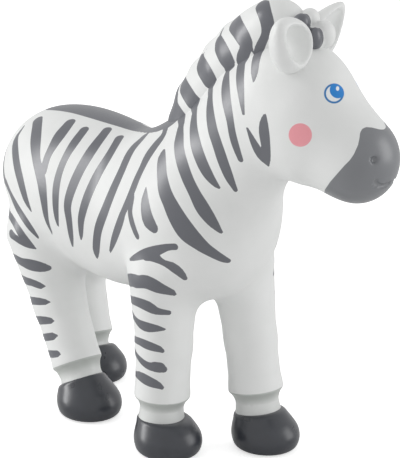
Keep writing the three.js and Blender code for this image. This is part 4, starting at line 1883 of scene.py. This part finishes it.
@dataclass(frozen=True)
class FacePrint:
    """Muzzle, eyes and cheeks, drawn on the right of the head and mirrored."""

    layout: Layout
    view: MainView
    skull: Form
    eye: tuple[float, float] = (334.0, 93.5)
    eye_radius: float = 10.0
    cheek: tuple[float, float] = (300.3, 135.0)
    cheek_radius: float = 11.7
    hidden_eye_shift: float = 1.5
    eye_depth: float = 4.0
    cheek_depth: float = 8.0
    muzzle_start: float = 8.0
    muzzle_outline: Pixels = (
        (383.5, 116), (384, 129.5), (380, 129.5), (372, 127.5), (366, 127), (362, 129), (360, 133),
        (359.5, 138), (358, 145), (354, 154), (350, 160), (344, 166), (337, 174), (330, 182),
        (325, 189.5), (320, 215), (420, 215), (420, 108),
    )

    def right_half(self, points: np.ndarray) -> np.ndarray:
        """Points of the head, with those of its left half mirrored to the right."""
        left = self.layout.in_head(points)[:, 1] > 0
        return np.where(left[:, None], self.layout.mirrored_head(points), points)

    def eyes(self, points: np.ndarray) -> np.ndarray:
        """Places in the eye's disc, whose rim is at one; far points get a large number.

        Args:
            points: Places in the figure's millimetres, as rows.

        Returns:
            Across, up and how far beyond the eye, as rows.
        """
        halved = self.right_half(points)
        middle = self.view.land(np.array([self.eye]), self.skull)[0]
        left = self.layout.in_head(points)[:, 1] > 0
        outward = self.layout.head_axes[1] * -self.hidden_eye_shift
        halved = halved - left[:, None] * outward
        disc = (self.view.project(halved) - self.eye) / self.eye_radius * (1, -1)
        beyond = np.maximum(np.linalg.norm(halved - middle, axis=1) - self.eye_depth, 0)
        return np.column_stack([disc, beyond])

    def cheeks(self, points: np.ndarray) -> np.ndarray:
        """How far points lie inside the cheeks' discs, in millimetres.

        Args:
            points: Places in the figure's millimetres, as rows.

        Returns:
            One depth for each point.
        """
        halved = self.right_half(points)
        middle = self.view.land(np.array([self.cheek]), self.skull)[0]
        off = np.linalg.norm(self.view.project(halved) - self.cheek, axis=1)
        depth = self.view.millimetres(self.cheek_radius - off)
        return np.where(np.linalg.norm(halved - middle, axis=1) > self.cheek_depth, FAR_OUTSIDE, depth)

    def muzzle(self, points: np.ndarray) -> np.ndarray:
        """How far points lie inside the dark muzzle, in millimetres.

        Args:
            points: Places in the figure's millimetres, as rows.

        Returns:
            One depth for each point.
        """
        at = self.view.project(self.right_half(points))
        corners = np.array(self.muzzle_outline)
        nearest, inside = np.full(len(at), NOWHERE_NEAR), np.zeros(len(at), bool)
        for a, b in zip(corners, np.roll(corners, -1, axis=0)):
            share = np.clip((at - a) @ (b - a) / ((b - a) @ (b - a)), 0, 1)
            nearest = np.minimum(nearest, np.linalg.norm(at - a - share[:, None] * (b - a), axis=1))
            crossed = (a[1] > at[:, 1]) != (b[1] > at[:, 1])
            rise = b[1] - a[1] if b[1] != a[1] else 1.0
            inside ^= crossed & (at[:, 0] < a[0] + (at[:, 1] - a[1]) * (b[0] - a[0]) / rise)
        depth = self.view.millimetres(np.where(inside, nearest, -nearest))
        front = self.layout.in_head(points)[:, 0] > self.muzzle_start
        return np.where(front, np.clip(depth, FAR_OUTSIDE, -FAR_OUTSIDE), FAR_OUTSIDE)


@dataclass(frozen=True)
class Studio:
    """A pale floor and plain soft light."""

    floor_size: float = 6.0
    floor_drop: float = 0.00003
    floor_colour: str = "#f4f4f4"
    floor_lift: float = 0.62
    fibre: float = 10 / 9
    fibre_depth: float = 0.01
    fill: float = 0.79
    lamp_distance: float = 1.1
    lamp_aim: tuple[float, float, float] = (0.0, 0.0, 0.06)
    # Each softbox: name, turn and rise in degrees, power in watts, breadth and height in metres
    softboxes: tuple[tuple[str, float, float, float, float, float], ...] = (
        ("key_softbox", -136, 13, 6.9, 0.3, 1.1),
        ("front_softbox", 43, 13, 3.4, 0.6, 0.9),
    )

    def build(self) -> None:
        """Makes the floor, the world and the lamps."""
        mesh = bpy.data.meshes.new("floor")
        half = self.floor_size / 2
        corners = ((-half, -half), (half, -half), (half, half), (-half, half))
        mesh.from_pydata([(x, y, -self.floor_drop) for x, y in corners], [], [(0, 1, 2, 3)])
        floor = bpy.data.objects.new("floor", mesh)
        bpy.context.scene.collection.objects.link(floor)
        mesh.materials.append(self.floor_material())
        self.light_world()
        for name, turn, rise, power, breadth, height in self.softboxes:
            direction = polar(turn, rise)
            lamp = bpy.data.lights.new(name, "AREA")
            lamp.shape, lamp.size, lamp.size_y, lamp.energy = "RECTANGLE", breadth, height, power
            stand = bpy.data.objects.new(name, lamp)
            stand.location = direction * self.lamp_distance + np.array(self.lamp_aim)
            stand.rotation_euler = Vector(direction.tolist()).to_track_quat("Z", "Y").to_euler()
            bpy.context.scene.collection.objects.link(stand)

    def floor_material(self) -> bpy.types.Material:
        """White studio paper that keeps the figure's shadow and shows as white.

        Returns:
            The material.
        """
        material = bpy.data.materials.new("studio_paper_rolled")
        tree = emptied(material)
        place = add_node(tree, "ShaderNodeTexCoord").outputs["Object"]
        # The paper's fibre, drawn at about a millimetre, which just shows
        fibre = {"Vector": place, "Scale": 1 / (self.fibre * MM)}
        fibre = add_node(tree, "ShaderNodeTexNoise", fibre).outputs["Fac"]
        bump = add_node(tree, "ShaderNodeBump", {"Height": fibre, "Distance": self.fibre_depth * MM})
        sheet = {"Color": linear(self.floor_colour), "Normal": bump.outputs["Normal"]}
        paper = add_node(tree, "ShaderNodeBsdfDiffuse", sheet)
        rays = add_node(tree, "ShaderNodeLightPath").outputs["Is Camera Ray"]
        lift = add_node(tree, "ShaderNodeMath", {0: rays, 1: self.floor_lift}, operation="MULTIPLY").outputs[0]
        glow = add_node(tree, "ShaderNodeEmission", {"Strength": lift})
        both = add_node(tree, "ShaderNodeAddShader", {0: paper.outputs[0], 1: glow.outputs[0]})
        add_node(tree, "ShaderNodeOutputMaterial", {"Surface": both.outputs[0]})
        return material

    def light_world(self) -> None:
        """Even light all round, which the camera and clear or glossy surfaces see as white."""
        world = bpy.data.worlds.new("studio")
        bpy.context.scene.world = world
        tree = emptied(world)
        rays = add_node(tree, "ShaderNodeLightPath").outputs
        seen = rays["Is Camera Ray"]
        for other in ("Is Glossy Ray", "Is Transmission Ray"):
            seen = add_node(tree, "ShaderNodeMath", {0: seen, 1: rays[other]}, operation="MAXIMUM").outputs[0]
        strength = add_node(tree, "ShaderNodeMapRange", {0: seen, 3: self.fill, 4: 1.0}).outputs[0]
        sky = add_node(tree, "ShaderNodeBackground", {"Strength": strength})
        add_node(tree, "ShaderNodeOutputWorld", {"Surface": sky.outputs[0]})


@dataclass(frozen=True)
class Seated:
    """A piece that sits on the hide: its form, the box that holds it and what it stands for."""

    name: str
    form: Form
    low: Sequence[float]
    high: Sequence[float]
    node: str
    ink: Form | None
    slot: str = "white_body"

    def build(self, cell: float, finish: bpy.types.Material) -> None:
        """Makes, prints and hands over the piece.

        Args:
            cell: Size of the skin's cells.
            finish: Its finish.
        """
        skin = Skin.wrap(self.form, self.low, self.high, cell)
        piece = piece_from(self.name, skin.to_bmesh(), self.form)
        if self.ink:
            keep_numbers(piece, "stripe", self.ink(figure_points(piece)))
        piece.data.materials.append(finish)
        hand_over(piece, [self.node], self.slot)


def dress_hide(figure: Figure, stripes: StripePrint, face: FacePrint, finishes: Finishes) -> None:
    """Makes, prints and hands over the trunk, the head and the legs.

    Args:
        figure: The figure.
        stripes: Its stripes.
        face: The print on its head.
        finishes: Its finishes.
    """
    legs = {leg.name: leg for leg in figure.legs}
    for name, piece in figure.build_hide().items():
        points = figure_points(piece)
        keep_numbers(piece, "stripe", stripes.depth(points))
        nodes, finish = ["trunk_right_shell", "trunk_left_shell"], finishes.body
        if name in legs:
            # Distance below the cuff, which places the grey paint and the painted shade under the cuff
            keep_numbers(piece, "cuff", legs[name].below_cuff(points))
            nodes, finish = [f"{name}_leg"], finishes.leg
        elif name == "head_skin":
            for attribute, print_at in (("muzzle", face.muzzle), ("cheek", face.cheeks), ("eye", face.eyes)):
                keep_numbers(piece, attribute, print_at(points))
            nodes, finish = ["head"], finishes.head
        piece.data.materials.append(finish)
        hand_over(piece, nodes, "white_body")


def seated_pieces(layout: Layout, mane: Mane, stripes: StripePrint) -> tuple[Seated, ...]:
    """The mane, the forelock, the ears and the tail.

    Args:
        layout: Main sizes of the figure.
        mane: The mane.
        stripes: The stripes, which run over the mane and the ears.

    Returns:
        The pieces, in the order in which they are made.
    """
    head, forelock, tail, ink = layout.head_origin, Forelock(layout), Tail(layout), stripes.depth
    right_ear = Ear(
        layout, Side.RIGHT, width=10.8, thickness=8.2, root=(0.238, 0.193, 0.397), face_turn=-0.12,
        cup_shift=0.04, cup_length=0.37, cup_width=0.34, cup_depth=0.56,
    )
    left_ear = Ear(layout, Side.LEFT, length=17.2, width=8.6, taper=0.95)
    tufts = forelock.form
    return (
        Seated("mane_crest", mane.form, (58, -8, 78), (118, 8, 120), "mane", ink),
        Seated("forelock_tufts", tufts, head + (-2, -8, 6), head + (24, 16, 28), "forelock", forelock.ink),
        Seated("right_ear_leaf", right_ear.form, head + (0, -24, 4), head + (24, 6, 30), "right_ear", ink),
        Seated("left_ear_leaf", left_ear.form, head + (-8, -2, 4), head + (24, 26, 30), "left_ear", ink),
        Seated("tail_hair", tail.form, (-8, -5, 28), (8, 5, 72), "tail", None, "dark_tail"),
    )


def main() -> None:
    """Builds the figure and its studio, and reports each piece."""
    logging.basicConfig(level=logging.INFO, format="%(message)s")
    bpy.context.scene.view_settings.view_transform = "Standard"
    layout, view, finishes = Layout(), MainView(), Finishes()
    view.place_camera()
    Studio().build()
    figure, mane = Figure(layout, view, SKIN_CELL), Mane(layout)
    stripes = StripePrint(view, figure.legs, figure.hide, mane.form)
    dress_hide(figure, stripes, FacePrint(layout, view, figure.hide), finishes)
    for leg in figure.legs:
        leg.build_hoof(figure.cell, finishes.hoof)
    for part in seated_pieces(layout, mane, stripes):
        part.build(figure.cell, finishes.body if part.ink else finishes.tail)


if __name__ == "__main__":
    main()
